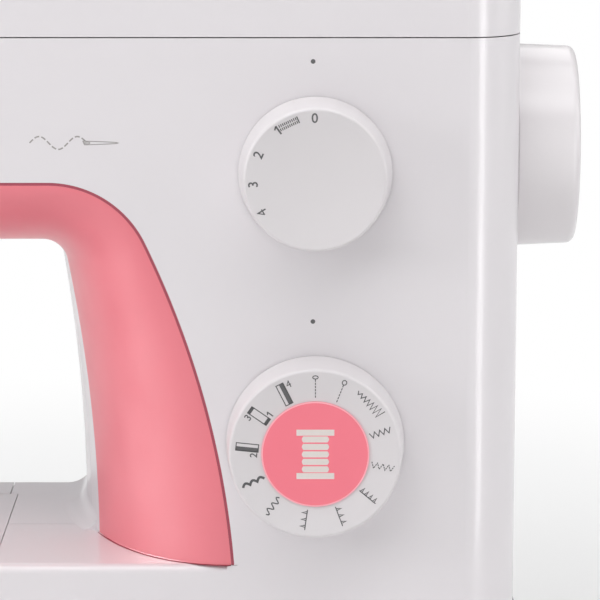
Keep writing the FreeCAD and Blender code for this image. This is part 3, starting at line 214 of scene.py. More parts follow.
# light tint, dark tint, roughness, grain and coat; for metal the roughness and the stretch of its streaks
skins = {
    "body": mouldedPlastic("bodyWhite", tint(224, 220, 223), tint(220, 216, 219), 0.32, 0.05, 0.5),
    "wheel": mouldedPlastic("wheelWhite", tint(224, 220, 222), tint(220, 216, 218), 0.34, 0.05, 0.4),
    "dial": mouldedPlastic("dialWhite", tint(216, 212, 214), tint(212, 208, 210), 0.38, 0.04, 0.15),
    "pink": mouldedPlastic("panelPink", tint(230, 124, 135), tint(226, 119, 130), 0.38, 0.05, 0.1),
    "capPink": mouldedPlastic("capPink", tint(243, 124, 140), tint(240, 119, 134), 0.42, 0.03),
    "grey": mouldedPlastic("baseGrey", tint(150, 149, 150), tint(140, 139, 141), 0.5, 0.2),
    "black": mouldedPlastic("blackPlastic", tint(40, 40, 42), tint(32, 32, 34), 0.45, 0.2),
    "gear": mouldedPlastic("gearPlastic", tint(226, 222, 208), tint(216, 211, 196), 0.5, 0.1),
    "rubber": mattRubber("blackRubber", tint(52, 51, 52), tint(38, 38, 39)),
    "steel": drawnMetal("polishedSteel", tint(222, 222, 224), tint(205, 205, 208), 0.18, (1, 1, 0.05)),
    "shaft": drawnMetal("turnedSteel", tint(190, 190, 193), tint(168, 168, 172), 0.35, (0.05, 1, 1)),
    "brass": drawnMetal("sinteredBrass", tint(196, 160, 92), tint(170, 134, 70), 0.42, (1, 1, 1)),
    "cast": drawnMetal("castAlloy", tint(178, 180, 182), tint(150, 152, 155), 0.5, (1, 1, 1)),
    "clear": clearPlastic("clearPlastic", tint(238, 242, 244)),
    "lens": mouldedPlastic("lampLens", tint(250, 248, 238), tint(244, 242, 230), 0.2, 0.02),
    "felt": feltCloth("spoolFelt", tint(228, 222, 216), tint(206, 200, 194)),
    "ink": printedInk("greyInk", tint(92, 91, 93), tint(82, 81, 83)),
    "seam": printedInk("seamShade", tint(176, 82, 98), tint(160, 70, 86)),
    "faint": printedInk("paleInk", tint(160, 156, 154), tint(150, 146, 144)),
    # the next tint is a painted highlight: a paler pink ring drawn round the pattern dial cap's rim
    "capEdgeHighlight": printedInk("capEdgeHighlight", tint(250, 178, 188), tint(247, 170, 180)),
    "motif": printedInk("motifGrey", tint(222, 214, 210), tint(216, 207, 203)),
}

# the frame's nodes under each skin
finishes = {
    "body": "front_cover rear_cover face_cover top_cover free_arm accessory_tray tray_lid handwheel "
            "reverse_lever tension_dial carry_handle",
    "dial": "stitch_length_dial pattern_dial",
    "pink": "throat_panel",
    "capPink": "pattern_dial_cap",
    "grey": "base_plate switch_frame motor winder_arm length_cam pattern_cams",
    "rubber": "rubber_feet winder_tyre timing_belt motor_belt",
    "cast": "main_frame",
    "brass": "shaft_bushes",
    "steel": "needle_plate needle_bar needle_clamp needle take_up_lever presser_bar presser_foot "
             "tension_discs presser_spring spool_pin winder_spindle casing_screws feed_dog rotary_hook",
    "shaft": "main_shaft lower_shaft crank_disc needle_bar_frame feed_bar presser_lifter",
    "gear": "upper_timing_pulley lower_timing_pulley hook_drive_gear hook_gear drive_pulley motor_pulley",
    "black": "power_inlet power_switch bobbin_case",
    "clear": "bobbin_cover bobbin",
    "lens": "lamp",
    "felt": "spool_felt",
}
for skin, names in finishes.items():
    for node in names.split():
        nodes[node].data.materials.clear()
        nodes[node].data.materials.append(skins[skin])
print("finishes given to the frame")


# quads between neighbouring rows and columns of a grid, closed round the columns if asked
def gridFaces(rows, cols, closed):
    r = np.arange(rows - 1)[:, None]
    c = np.arange(cols if closed else cols - 1)[None, :]
    d = (c + 1) % cols
    quad = np.stack([r * cols + c + 0 * d, r * cols + d, (r + 1) * cols + d, (r + 1) * cols + c], axis=-1)
    return quad.reshape(-1, 4)


def makePiece(name, verts, faces, body, skin, sharp=40.0):
    mesh = bpy.data.meshes.new(name)
    mesh.from_pydata(np.asarray(verts, float).tolist(), [], [[int(k) for k in face] for face in faces])
    work = bmesh.new()
    work.from_mesh(mesh)
    bmesh.ops.remove_doubles(work, verts=work.verts, dist=1e-7)
    bmesh.ops.recalc_face_normals(work, faces=work.faces)
    work.to_mesh(mesh)
    work.free()
    mesh.shade_smooth()
    mesh.set_sharp_from_angle(angle=math.radians(sharp))
    mesh.materials.append(skins[skin])
    piece = bpy.data.objects.new(name, mesh)
    bpy.context.scene.collection.objects.link(piece)
    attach(piece, body)
    return piece


# a profile of (radius, height) carried round an axis: x and y are the two radial directions of that axis
def turnedSurface(profile, centre, axis, steps=144):
    profile = np.asarray(profile, float)
    angle = np.linspace(0, 2 * np.pi, steps, endpoint=False)
    a = profile[:, None, 0] * np.cos(angle)
    b = profile[:, None, 0] * np.sin(angle)
    h = np.broadcast_to(profile[:, None, 1], a.shape)
    order = {"x": (h, a, b), "y": (a, h, b), "z": (a, b, h)}[axis]
    verts = np.stack(order, axis=-1).reshape(-1, 3) + np.asarray(centre)
    return verts, gridFaces(len(profile), steps, True)


# a quarter turn of points round a corner: centre, radius, first and last angle in degrees
def roundCorner(cx, cy, radius, first, last, count=8):
    t = np.radians(np.linspace(first, last, count))
    return np.stack([cx + radius * np.cos(t), cy + radius * np.sin(t)], axis=1)


# Camera: fitted to the photo's dials, wheel, throat and pillar edges
cameraSet = {"place": (0.0890, -1.0949, 0.3806), "pitch": 11.02, "focal": 3102.8, "frame": 600,
             "sensor": 36.0, "far": 20.0}
cam = bpy.data.cameras.new("photoCamera")
cam.sensor_width = cameraSet["sensor"]
cam.lens = cameraSet["focal"] / cameraSet["frame"] * cameraSet["sensor"]
cam.clip_end = cameraSet["far"]
camera = bpy.data.objects.new("photoCamera", cam)
camera.location = cameraSet["place"]
camera.rotation_euler = (math.radians(90 - cameraSet["pitch"]), 0, 0)
bpy.context.scene.collection.objects.link(camera)
bpy.context.scene.camera = camera
print("camera set")


# Dials: a leaning side, a rounded edge and a flat face; diameters at the cover and at the face
dialSet = {"edge": 1.0, "lip": 0.2, "dish": 0.08, "flare": 0.2, "lean": 0.8, "gap": 0.4}
dials = {
    "stitch_length_dial": {"body": "length_control", "base": 52.2, "face": 48.5},
    "pattern_dial": {"body": "pattern_control", "base": 61.3, "face": 58.9},
}


# profile from the back rim to the face centre, radius against height in front of the cover
def dialProfile(base, face, height):
    edge, dish = dialSet["edge"], dialSet["dish"]
    lip = face - edge - dialSet["lip"]
    rise = np.linspace(0, 1, 6)
    side = np.stack([base - (base - face) * rise ** dialSet["lean"], (height - edge) * rise], axis=1)
    crown = roundCorner(face - edge, height - edge, edge, 0, 90, count=10)
    inner = np.array([[lip, height], [lip - dialSet["flare"], height - dish], [0, height - dish]])
    back = np.array([[0.0, 0.0], [base, 0.0]])
    return np.vstack([back, side, crown, inner])


def makeDial(node):
    spec = dials[node]
    low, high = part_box(node)
    backY = frontY - dialSet["gap"] * mm
    centre = ((low.x + high.x) / 2, backY, (low.z + high.z) / 2)
    profile = dialProfile(spec["base"] / 2, spec["face"] / 2, (backY - low.y) / mm) * mm
    profile[:, 1] *= -1
    verts, faces = turnedSurface(profile, centre, "y", steps=192)
    piece = makePiece(node + "_shell", verts, faces, spec["body"], "dial", sharp=50.0)
    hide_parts(node)
    return centre, low.y + dialSet["dish"] * mm


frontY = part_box("front_cover")[0].y
lengthCentre, lengthFace = makeDial("stitch_length_dial")
patternCentre, patternFace = makeDial("pattern_dial")
print("dials turned")


# Handwheel: a drum with a soft front edge and a domed end, turned round the main shaft's axis
wheelSet = {"taper": 0.8, "round": 2.8, "dome": 1.7, "bevel": 0.6, "hub": 5.05}


# profile from the hub's bore along the back, the leaning rim, the soft edge and the dome
def wheelProfile(radius, back, end):
    rim = radius - wheelSet["taper"]
    flat = rim - wheelSet["round"]
    face = end - wheelSet["dome"]
    ball = (flat ** 2 + wheelSet["dome"] ** 2) / (2 * wheelSet["dome"])
    tilt = np.linspace(math.asin(flat / ball), 0, 16)
    bevel = wheelSet["bevel"]
    start = np.array([[wheelSet["hub"], back], [radius - bevel, back], [radius, back + bevel]])
    edge = roundCorner(flat, face - wheelSet["round"], wheelSet["round"], 0, 90, count=12)
    dome = np.stack([ball * np.sin(tilt), end - ball * (1 - np.cos(tilt))], axis=1)
    return np.vstack([start, edge, dome])


wheelLow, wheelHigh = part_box("handwheel")
wheelRadius = (wheelHigh.z - wheelLow.z) / 2 / mm
wheelCentre = (0.0, (wheelLow.y + wheelHigh.y) / 2, (wheelLow.z + wheelHigh.z) / 2)
profile = wheelProfile(wheelRadius, wheelLow.x / mm, wheelHigh.x / mm) * mm
verts, faces = turnedSurface(profile, wheelCentre, "x", steps=256)
wheel = makePiece("handwheel_shell", verts, faces, "main_drive", "wheel", sharp=30.0)
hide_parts("handwheel")
print("handwheel turned")


# Throat panel: the front edge and the throat curve joined by a quarter ellipse in depth
# each pair holds the value at the front edge and in the throat
panelSet = {
    "armZ": (218.0, 188.5), "corner": (35.2, 5.2), "turn": (64.7, 81.0), "end": (85.65, 90.0),
    "cove": (0.6, 0.6), "footInset": (98.8, 154.0), "depth": 85.0, "thick": 2.5, "pillarEnd": 164.0,
    "pinkDepth": 44.0, "rows": 48, "stripRows": 6,
    "points": {"arm": 24, "corner": 28, "sweep": 40, "cove": 16},
}
# the cover's opening round the panel's front edge
openingSet = {
    "armZ": (221.4, 188.5), "corner": (45.4, 5.2), "turn": (67.3, 81.0), "end": (83.7, 90.0),
    "cove": (0.6, 6.0), "footInset": (96.4, 154.0),
}
panelLow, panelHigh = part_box("throat_panel")
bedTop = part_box("free_arm")[1].z / mm
footGap = panelLow.z / mm - bedTop


def between(pair, share):
    return pair[0] + (pair[1] - pair[0]) * share


# points of one section from the head along the arm, round the corner, down the sweep and into the cove
def throatLine(shape, share, out):
    armZ, corner, turn, end, cove, inset = [
        between(shape[key], share) for key in ("armZ", "corner", "turn", "end", "cove", "footInset")]
    armZ, corner, foot = armZ + out, corner + out, panelSet["pillarEnd"] - inset + out
    turn, end = math.radians(turn), math.radians(end)
    drop = armZ - bedTop - corner * (1 - math.cos(turn)) - cove * (1 + math.cos(end))
    sweep = drop / (math.cos(turn) - math.cos(end))
    startX = foot - sweep * (math.sin(end) - math.sin(turn)) - corner * math.sin(turn)
    points = panelSet["points"]
    x = [np.linspace(panelLow.x / mm, startX, points["arm"])]
    z = [np.full(points["arm"], armZ)]
    stop = math.acos(min(footGap / cove, 1.0) - 1)
    arcs = (("corner", corner, 0.0, turn), ("sweep", sweep, turn, end), ("cove", cove, end, stop))
    for arc, radius, a, b in arcs:
        t = np.linspace(a, b, points[arc] + 1)[1:]
        x.append(x[-1][-1] + radius * (np.sin(t) - math.sin(a)))
        z.append(z[-1][-1] + radius * (np.cos(t) - math.cos(a)))
    return np.concatenate(x), np.concatenate(z)


# the skin at a given offset behind the shown face, between two depths behind the front edge
def panelSkin(grow, start, stop, rows):
    reach = panelSet["depth"] - grow
    first, last = [math.acos(min((panelSet["depth"] - d) / reach, 1.0)) for d in (start, stop)]
    angle = np.linspace(first, last, rows)
    depth = panelSet["depth"] - reach * np.cos(angle)
    lines = [throatLine(panelSet, math.sin(a), grow * math.sin(a)) for a in angle]
    return np.stack([np.stack([x, np.full(len(x), panelLow.y / mm + d), z], axis=1)
                     for (x, z), d in zip(lines, depth)])


# a closed sheet between the shown face and the face behind it
def panelSheet(name, start, stop, rows, skin):
    shown = panelSkin(0.0, start, stop, rows)
    behind = panelSkin(panelSet["thick"], start, stop, rows)
    cols = shown.shape[1]
    verts = np.concatenate([shown.reshape(-1, 3), behind.reshape(-1, 3)]) * mm
    face = gridFaces(rows, cols, False)
    rim = np.concatenate([np.arange(cols), np.arange(1, rows) * cols + cols - 1,
                          np.arange(cols - 2, -1, -1) + (rows - 1) * cols, np.arange(rows - 2, 0, -1) * cols])
    edge = np.stack([rim, np.roll(rim, -1), np.roll(rim, -1) + rows * cols, rim + rows * cols], axis=1)
    faces = np.concatenate([face, face + rows * cols, edge])
    return makePiece(name, verts, faces, "machine", skin, sharp=50.0), shown


panelDeep = (panelHigh.y - panelLow.y) / mm
pinkDepth = panelSet["pinkDepth"]
panel, pinkFace = panelSheet("throat_panel_skin", 0.0, pinkDepth, panelSet["rows"], "pink")
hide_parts("throat_panel")
# the rear margin of the opening is white like the cover behind it
panelSheet("throat_strip", pinkDepth, panelDeep, panelSet["stripRows"], "body")

# Wider cove at the foot of the throat: quarter arcs that grow from the panel to the rear
coveSet = {"gain": 3.6, "over": 0.04, "under": 0.4, "rearGap": 0.1, "rows": 14, "points": 13}
coveEnd = (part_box("rear_cover")[1].y - panelLow.y) / mm - coveSet["rearGap"]
depth = np.append(np.linspace(panelDeep, panelSet["depth"], coveSet["rows"]), coveEnd)
share = np.sqrt(1 - (1 - np.minimum(depth, panelSet["depth"]) / panelSet["depth"]) ** 2)
foot = panelSet["pillarEnd"] - between(openingSet["footInset"], share)
grown = np.clip((depth - panelDeep) / (panelSet["depth"] - panelDeep), 0, 1)
radius = between(openingSet["cove"], share) + coveSet["gain"] * grown
turn = np.linspace(0, np.pi / 2, coveSet["points"])
x = foot[:, None] - radius[:, None] * (1 - np.cos(turn)) - coveSet["over"]
z = bedTop + radius[:, None] * (1 - np.sin(turn)) + coveSet["over"]
hidden = foot + coveSet["under"]
x = np.column_stack([x, foot - radius, hidden, hidden])
z = np.column_stack([z, np.full((len(depth), 2), bedTop - coveSet["under"]), bedTop + radius])
y = np.repeat(panelLow.y / mm + depth[:, None], x.shape[1], axis=1)
rows, cols = x.shape
caps = [list(range(cols)), list(range((rows - 1) * cols, rows * cols))]
makePiece("throat_cove", np.stack([x, y, z], axis=2).reshape(-1, 3) * mm,
          gridFaces(rows, cols, True).tolist() + caps, "machine", "body")
print("throat panel laid")


sharpestMiter = 0.45


# a flat band along a line of points in a plane, (u, v) in millimetres, with mitred turns
def bandOf(points, width, closed=False):
    p = np.asarray(points, float)
    ahead = np.roll(p, -1, 0) - p if closed else np.vstack([p[1:] - p[:-1], p[-1:] - p[-2:-1]])
    before = np.roll(ahead, 1, 0) if closed else np.vstack([ahead[:1], ahead[:-1]])
    a = ahead / np.linalg.norm(ahead, axis=1)[:, None]
    b = before / np.linalg.norm(before, axis=1)[:, None]
    side = a + b
    side = side / np.maximum(np.linalg.norm(side, axis=1)[:, None], 1e-6)
    miter = 1 / np.maximum((side * a).sum(1), sharpestMiter)
    normal = np.stack([-side[:, 1], side[:, 0]], axis=1) * (width / 2 * miter)[:, None]
    both = np.stack([p - normal, p + normal], axis=1).reshape(-1, 2)
    count = len(p) if closed else len(p) - 1
    i = np.arange(count)
    j = (i + 1) % len(p)
    return both, np.stack([2 * i, 2 * j, 2 * j + 1, 2 * i + 1], axis=1)


def patchOf(points):
    return np.asarray(points, float), np.arange(len(points))[None, :]


def boxPatch(u0, u1, v0, v1):
    return patchOf([(u0, v0), (u1, v0), (u1, v1), (u0, v1)])


def ringLine(u, v, ru, rv, count=40):
    t = np.linspace(0, 2 * np.pi, count, endpoint=False)
    return np.stack([u + ru * np.cos(t), v + rv * np.sin(t)], axis=1)


# bands of one length with gaps between them, along a line
def dashes(line, dash, gap, width):
    p = np.asarray(line, float)
    run = np.concatenate([[0], np.cumsum(np.linalg.norm(np.diff(p, axis=0), axis=1))])
    starts = np.arange(0, run[-1] - dash / 2, dash + gap)
    pieces = []
    for s in starts:
        t = np.linspace(s, min(s + dash, run[-1]), 4)
        points = np.stack([np.interp(t, run, p[:, k]) for k in (0, 1)], axis=1)
        pieces.append(bandOf(points, width))
    return pieces


figureSet = {"bold": 0.012, "plain": "4", "steps": 8, "flag": ((0.0, 0.47), (-0.32, 0.2)), "flagWidth": 0.15}


# a figure as flat faces, centred on (0, 0) and as tall as asked; the figure 1 gets a flag
def figureOf(text, height):
    curve = bpy.data.curves.new("figure", "FONT")
    curve.body = text
    curve.resolution_u = figureSet["steps"]
    if text not in figureSet["plain"]:  # a bolder 4 would close up
        curve.offset = figureSet["bold"]
    holder = bpy.data.objects.new("figure", curve)
    bpy.context.scene.collection.objects.link(holder)
    bpy.context.view_layer.update()
    mesh = holder.to_mesh()
    flat = np.array([v.co[:2] for v in mesh.vertices])
    polygons = [tuple(p.vertices) for p in mesh.polygons]
    holder.to_mesh_clear()
    bpy.data.objects.remove(holder)
    bpy.data.curves.remove(curve)
    low, high = flat.min(0), flat.max(0)
    flat = (flat - (low + high) / 2) * (height / (high[1] - low[1]))
    if text == "1":
        points, quads = bandOf(np.array(figureSet["flag"]) * height, figureSet["flagWidth"] * height)
        polygons += [tuple(quad + len(flat)) for quad in quads]
        flat = np.concatenate([flat, points])
    return flat, polygons


# a flat piece turned about (0, 0) and then shifted
def moved(piece, u, v, turn=0.0):
    t = math.radians(turn)
    p = piece[0]
    return np.stack([u + p[:, 0] * math.cos(t) - p[:, 1] * math.sin(t),
                     v + p[:, 0] * math.sin(t) + p[:, 1] * math.cos(t)], axis=1), piece[1]


# place and turn of a mark on a ring, at an angle anticlockwise from the top
def onRing(ring, angle):
    a = math.radians(angle)
    return -ring * math.sin(a), ring * math.cos(a), angle


# prints lie a hair outside a flat face; for each side, the axes that u (to the right) and v (up) run along
# and the axis that the face looks along, with their signs
sides = {
    "front": ((0, 1), (2, 1), (1, -1)),
    "back": ((0, -1), (2, 1), (1, 1)),
    "right": ((1, 1), (2, 1), (0, 1)),
    "top": ((0, 1), (1, 1), (2, 1)),
}


def printOn(name, pieces, centre, face, body, skin, side="front", lift=0.03):
    verts, faces, start = [], [], 0
    for points, polygons in pieces:
        verts.append(points)
        for polygon in polygons:
            ring = [int(k) for k in polygon]
            u, v = points[ring, 0], points[ring, 1]
            area = (u * np.roll(v, -1) - np.roll(u, -1) * v).sum()
            faces.append([start + k for k in (ring if area > 0 else ring[::-1])])
        start += len(points)
    flat = np.concatenate(verts)
    right, up, out = sides[side]
    place = np.zeros((len(flat), 3))
    place[:, right[0]] = centre[right[0]] + right[1] * flat[:, 0] * mm
    place[:, up[0]] = centre[up[0]] + up[1] * flat[:, 1] * mm
    place[:, out[0]] = face + out[1] * lift * mm
    mesh = bpy.data.meshes.new(name)
    mesh.from_pydata(place.tolist(), [], faces)
    mesh.materials.append(skins[skin])
    piece = bpy.data.objects.new(name, mesh)
    bpy.context.scene.collection.objects.link(piece)
    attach(piece, body)
    return piece


# Rim of the cover between its opening and the panel, and the shadow line in the joint, sunk into the gap
seamSet = {"gap": 1.0, "sunk": 0.25, "overlap": 0.06, "rimDeep": 1.5, "rimSunk": 0.02, "foot": 1.3}
inner = np.stack(throatLine(panelSet, 0.0, seamSet["gap"]), axis=1)
outer = np.stack(throatLine(openingSet, 0.0, 0.0), axis=1)
front, back = frontY / mm + seamSet["rimSunk"], frontY / mm + seamSet["rimDeep"]
corners = ((inner, front), (outer, front), (outer, back), (inner, back))
rim = np.stack([np.insert(line, 1, y, axis=1) for line, y in corners], axis=1)
ends = [list(range(4)), [4 * len(inner) - 4 + k for k in range(4)]]
rimFaces = [list(face) for face in gridFaces(len(inner), 4, True)] + ends
makePiece("throat_rim", rim.reshape(-1, 3) * mm, rimFaces, "machine", "body", sharp=30.0)
middle = np.stack(throatLine(panelSet, 0.0, seamSet["gap"] / 2), axis=1)
printOn("panel_seam", [bandOf(middle, seamSet["gap"] + seamSet["overlap"])], (0, 0, 0), frontY, "machine",
        "seam", lift=-seamSet["sunk"])
printOn("foot_seam", [bandOf(pinkFace[:, -1, :2], seamSet["foot"])], (0, 0, 0), bedTop * mm, "machine",
        "seam", side="top")

# Length dial's figures, anticlockwise from the top, and the fine comb before the figure 1
lengthPrint = {"ring": 20.9, "height": 3.3, "angles": (0.8, 36.2, 65.8, 93.9, 121.5)}
combSet = {"angle": 25.0, "length": 6.6, "teeth": 10, "tooth": 0.96, "apart": 1.28, "width": 0.36,
           "end": 2.4, "endWidth": 0.42, "endRoom": 0.6}
marks = []
for number, angle in enumerate(lengthPrint["angles"]):
    marks.append(moved(figureOf(str(number), lengthPrint["height"]), *onRing(lengthPrint["ring"], angle)))
tooth, end = combSet["tooth"] / 2, combSet["length"] / 2
comb = [bandOf([(u, v - tooth), (u, v + tooth)], combSet["width"])
        for v in (-combSet["apart"] / 2, combSet["apart"] / 2)
        for u in np.linspace(-end, end - combSet["endRoom"], combSet["teeth"])]
comb.append(bandOf([(end, -combSet["end"] / 2), (end, combSet["end"] / 2)], combSet["endWidth"]))
marks += [moved(piece, *onRing(lengthPrint["ring"], combSet["angle"])) for piece in comb]
printOn("length_dial_print", marks, lengthCentre, lengthFace, "length_control", "ink")

# Pattern dial's stitch icons, clockwise from the top: each drawn upright, v pointing outwards
iconSet = {"ring": 23.2, "thin": 0.34, "line": 0.42, "bold": 0.85, "figure": 2.5, "hem": 7.2,
           "tick": (0.55, 1.7, 0.2), "hole": (1.3, 3.8), "stitch": (0.8, 0.3), "dot": (0.62, 0.24),
           "ringAt": 3.4, "rowEnd": -4.0}


def zigzag(length, swing, turns, grow=0.0):
    v = np.linspace(-length / 2, length / 2, 2 * turns + 1)
    size = swing * (1 + grow * np.linspace(-1, 1, len(v)))
    return np.stack([np.where(np.arange(len(v)) % 2 == 0, -1, 1) * size, v], axis=1)


def hemStitch(ticks, side):
    v = np.linspace(-iconSet["hem"] / 2, iconSet["hem"] / 2, 2 * ticks + 1)
    below, reach, above = iconSet["tick"]
    strokes = [bandOf([(0, v[0]), (0, v[-1])], iconSet["thin"])]
    strokes += [bandOf([(0, k - below), (side * reach, k), (0, k + above)], iconSet["thin"]) for k in v[1::2]]
    return strokes


def wave(length, swing, periods):
    v = np.linspace(-length / 2, length / 2, 41)
    return np.stack([swing * np.sin((v / length + 0.5) * 2 * np.pi * periods), v], axis=1)


def scallops(length, swing, count):
    v = np.linspace(-length / 2, length / 2, 16 * count + 1)
    return np.stack([swing * np.abs(np.sin((v / length + 0.5) * np.pi * count)) - swing / 2, v], axis=1)


# a frame with filled parts, and figures beside it
def buttonhole(parts, figures):
    w, h = iconSet["hole"]
    strokes = [bandOf([(-w, -h), (w, -h), (w, h), (-w, h)], iconSet["thin"], True)]
    strokes += [boxPatch(*part) for part in parts]
    strokes += [moved(figureOf(text, iconSet["figure"]), u, v) for text, u, v in figures]
    return strokes


# a straight row of stitches under a ring
def straightStitch(top, ringWide, ringTall):
    ring = bandOf(ringLine(0, iconSet["ringAt"], ringWide, ringTall), iconSet["thin"], True)
    return [ring] + dashes([(0, top), (0, iconSet["rowEnd"])], *iconSet["stitch"], iconSet["thin"])


thin, line, bold = iconSet["thin"], iconSet["line"], iconSet["bold"]
wide, tall = iconSet["hole"]
growing = zigzag(length=11.4, swing=1.15, turns=7, grow=0.6)
icons = {
    0.0: straightStitch(top=2.7, ringWide=0.9, ringTall=0.55),
    21.6: straightStitch(top=2.5, ringWide=0.75, ringTall=0.8),
    46.0: [moved(bandOf(growing, thin), 0, 2.1, turn=-90.0)],
    71.3: [bandOf(zigzag(length=7.4, swing=0.95, turns=4), thin)],
    101.0: dashes(zigzag(length=7.8, swing=1.05, turns=4), *iconSet["dot"], thin),
    130.3: hemStitch(ticks=4, side=-1),
    159.7: hemStitch(ticks=3, side=-1),
    187.8: hemStitch(ticks=3, side=1),
    218.6: [bandOf(wave(length=7.4, swing=0.9, periods=3.0), line)],
    245.4: [bandOf(scallops(length=8.0, swing=1.05, count=3), bold)],
    275.8: buttonhole([(-wide, 0.1, -tall, tall)], [("2", -2.5, -2.4)]),
    304.8: buttonhole([(-wide, wide, tall - 1, tall), (-wide, wide, -tall, 1 - tall)],
                      [("3", -2.6, 2.8), ("1", 2.7, -2.7)]),
    333.2: buttonhole([(-0.2, wide, -tall, tall)], [("4", 2.8, 2.6)]),
}
marks = []
for angle, strokes in icons.items():
    marks += [moved(stroke, *onRing(iconSet["ring"], -angle)) for stroke in strokes]
printOn("pattern_dial_print", marks, patternCentre, patternFace, "pattern_control", "ink")
print("dials printed")

# Cap motif: a thread spool, two flanges and a body wound with thread
motifSet = {"half": 6.4, "rise": 8.6, "flange": 2.1, "core": 4.1, "turns": 5, "bulge": 0.5, "apart": 0.25,
            "lift": 0.005}
capHighlightSet = {"width": 0.5, "lift": 0.004, "points": 96}
capLow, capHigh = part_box("pattern_dial_cap")
h, r, f, c = motifSet["half"], motifSet["rise"], motifSet["flange"], motifSet["core"]
marks = [boxPatch(-h, h, r - f, r), boxPatch(-h, h, -r, f - r)]
levels = np.linspace(f - r, r - f, motifSet["turns"] + 1)
for low, high in zip(levels[:-1], levels[1:]):
    side = c + motifSet["bulge"] * np.sin(np.linspace(0, np.pi, 9))
    v = np.linspace(low + motifSet["apart"], high - motifSet["apart"], 9)
    marks.append(patchOf(np.concatenate([np.stack([side, v], 1), np.stack([-side, v], 1)[::-1]])))
# a paler pink ring round the cap's rim, a painted highlight on its edge
capHighlightRadius = (capHigh.x - capLow.x) / 2 / mm - capHighlightSet["width"] / 2
edge = bandOf(ringLine(0, 0, capHighlightRadius, capHighlightRadius, capHighlightSet["points"]), capHighlightSet["width"], True)
printOn("cap_edge", [edge], patternCentre, capLow.y, "pattern_control", "capEdgeHighlight",
        lift=capHighlightSet["lift"])
printOn("cap_motif", marks, patternCentre, capLow.y, "pattern_control", "motif",
        lift=motifSet["lift"])

# Index dots over the dials
dotSet = {"radius": 0.8, "lengthZ": 260.2, "patternZ": 171.2, "x": 93.4}
dots = [patchOf(ringLine(dotSet["x"], z, dotSet["radius"], dotSet["radius"], 32))
        for z in (dotSet["lengthZ"], dotSet["patternZ"])]
printOn("index_dots", dots, (0, 0, 0), frontY, "machine", "ink")

# A plain needle and a running stitch on the arm
stitchSet = {"x": 12.8, "z": 232.6, "length": 30.0, "needle": 12.0, "half": 0.62, "outline": 0.3,
             "eye": (1.0, 0.28), "eyeAt": 1.4, "eyeLine": 0.24,
             "rise": 2.2, "waves": 1.5, "dash": (1.7, 0.7), "width": 0.5}
tip, half = stitchSet["length"] / 2, stitchSet["half"]
u = np.linspace(tip - stitchSet["needle"], tip, 25)
swell = half * np.sqrt(np.clip((tip - u) / stitchSet["needle"], 0, 1))
body = np.concatenate([np.stack([u, swell], 1), np.stack([u, -swell], 1)[::-1][1:-1]])
eyeAt = tip - stitchSet["needle"] + stitchSet["eyeAt"]
marks = [bandOf(body, stitchSet["outline"], True),
         bandOf(ringLine(eyeAt, 0, *stitchSet["eye"]), stitchSet["eyeLine"], True)]
u = np.linspace(-tip, eyeAt, 60)
swing = (u + tip) / (eyeAt + tip) * 2 * stitchSet["waves"] * np.pi
thread = np.stack([u, stitchSet["rise"] * np.sin(swing)], axis=1)
marks += dashes(thread, *stitchSet["dash"], stitchSet["width"])
printOn("arm_stitch_mark", marks, (stitchSet["x"] * mm, 0, stitchSet["z"] * mm), frontY,
        "machine", "faint")

# Tension dial's figures and its index line
tensionSet = {"figures": 10, "ring": 8.7, "height": 2.7, "step": 33.0,
              "indexGap": 1.6, "index": 3.0, "width": 0.5}
low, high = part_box("tension_dial")
tensionCentre = ((low.x + high.x) / 2, 0, (low.z + high.z) / 2)
marks = []
for number in range(tensionSet["figures"]):
    turn = -tensionSet["step"] * (number - (tensionSet["figures"] - 1) / 2)
    marks.append(moved(figureOf(str(number), tensionSet["height"]), *onRing(tensionSet["ring"], turn)))
printOn("tension_dial_print", marks, tensionCentre, low.y, "tension_control", "ink")
reach = (high.z - low.z) / 2 / mm + tensionSet["indexGap"]
printOn("tension_index", [bandOf([(0, reach), (0, reach + tensionSet["index"])], tensionSet["width"])],
        tensionCentre, frontY, "machine", "ink")

# Reverse lever's turning arrow
reverseSet = {"radius": 3.0, "width": 0.7, "head": 1.7, "headHalf": 1.19, "from": -90, "to": 150}
low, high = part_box("reverse_lever")
r = reverseSet["radius"]
arc = roundCorner(0, 0, r, reverseSet["from"], reverseSet["to"], 31)
out = arc[-1] / r
way = np.array([-out[1], out[0]]) * reverseSet["head"]
wing = out * reverseSet["headHalf"]
head = patchOf([arc[-1] + wing, arc[-1] + way, arc[-1] - wing])
printOn("reverse_mark", [bandOf(arc, reverseSet["width"]), head],
        ((low.x + high.x) / 2, 0, (low.z + high.z) / 2), low.y, "reverse_control", "ink")

# Needle plate's seam guide lines, with their distance from the needle in millimetres
guideSet = {"lines": (15, 20, 25, 30, 40), "front": -2.0, "rear": 33.0, "width": 0.4,
            "height": 2.3, "room": 5.5}
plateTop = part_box("needle_plate")[1].z
needleLow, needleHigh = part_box("needle")
needleX = (needleLow.x + needleHigh.x) / 2
marks = []
for distance in guideSet["lines"]:
    start, middle = guideSet["front"] + guideSet["room"], guideSet["front"] + guideSet["room"] / 2
    marks.append(bandOf([(distance, start), (distance, guideSet["rear"])], guideSet["width"]))
    marks.append(moved(figureOf(str(distance), guideSet["height"]), distance, middle))
printOn("needle_plate_lines", marks, (needleX, 0, 0), plateTop, "machine", "ink", "top")

# Switch marks: a bar and a ring
switchSet = {"aside": 7.0, "half": 2.4, "ring": 2.2, "width": 0.8}
low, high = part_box("power_switch")
aside, half = switchSet["aside"], switchSet["half"]
marks = [bandOf([(-aside, -half), (-aside, half)], switchSet["width"]),
         bandOf(ringLine(aside, 0, switchSet["ring"], half), switchSet["width"], True)]
printOn("switch_marks", marks, (0, (low.y + high.y) / 2, (low.z + high.z) / 2), high.x,
        "switch", "motif", "right")
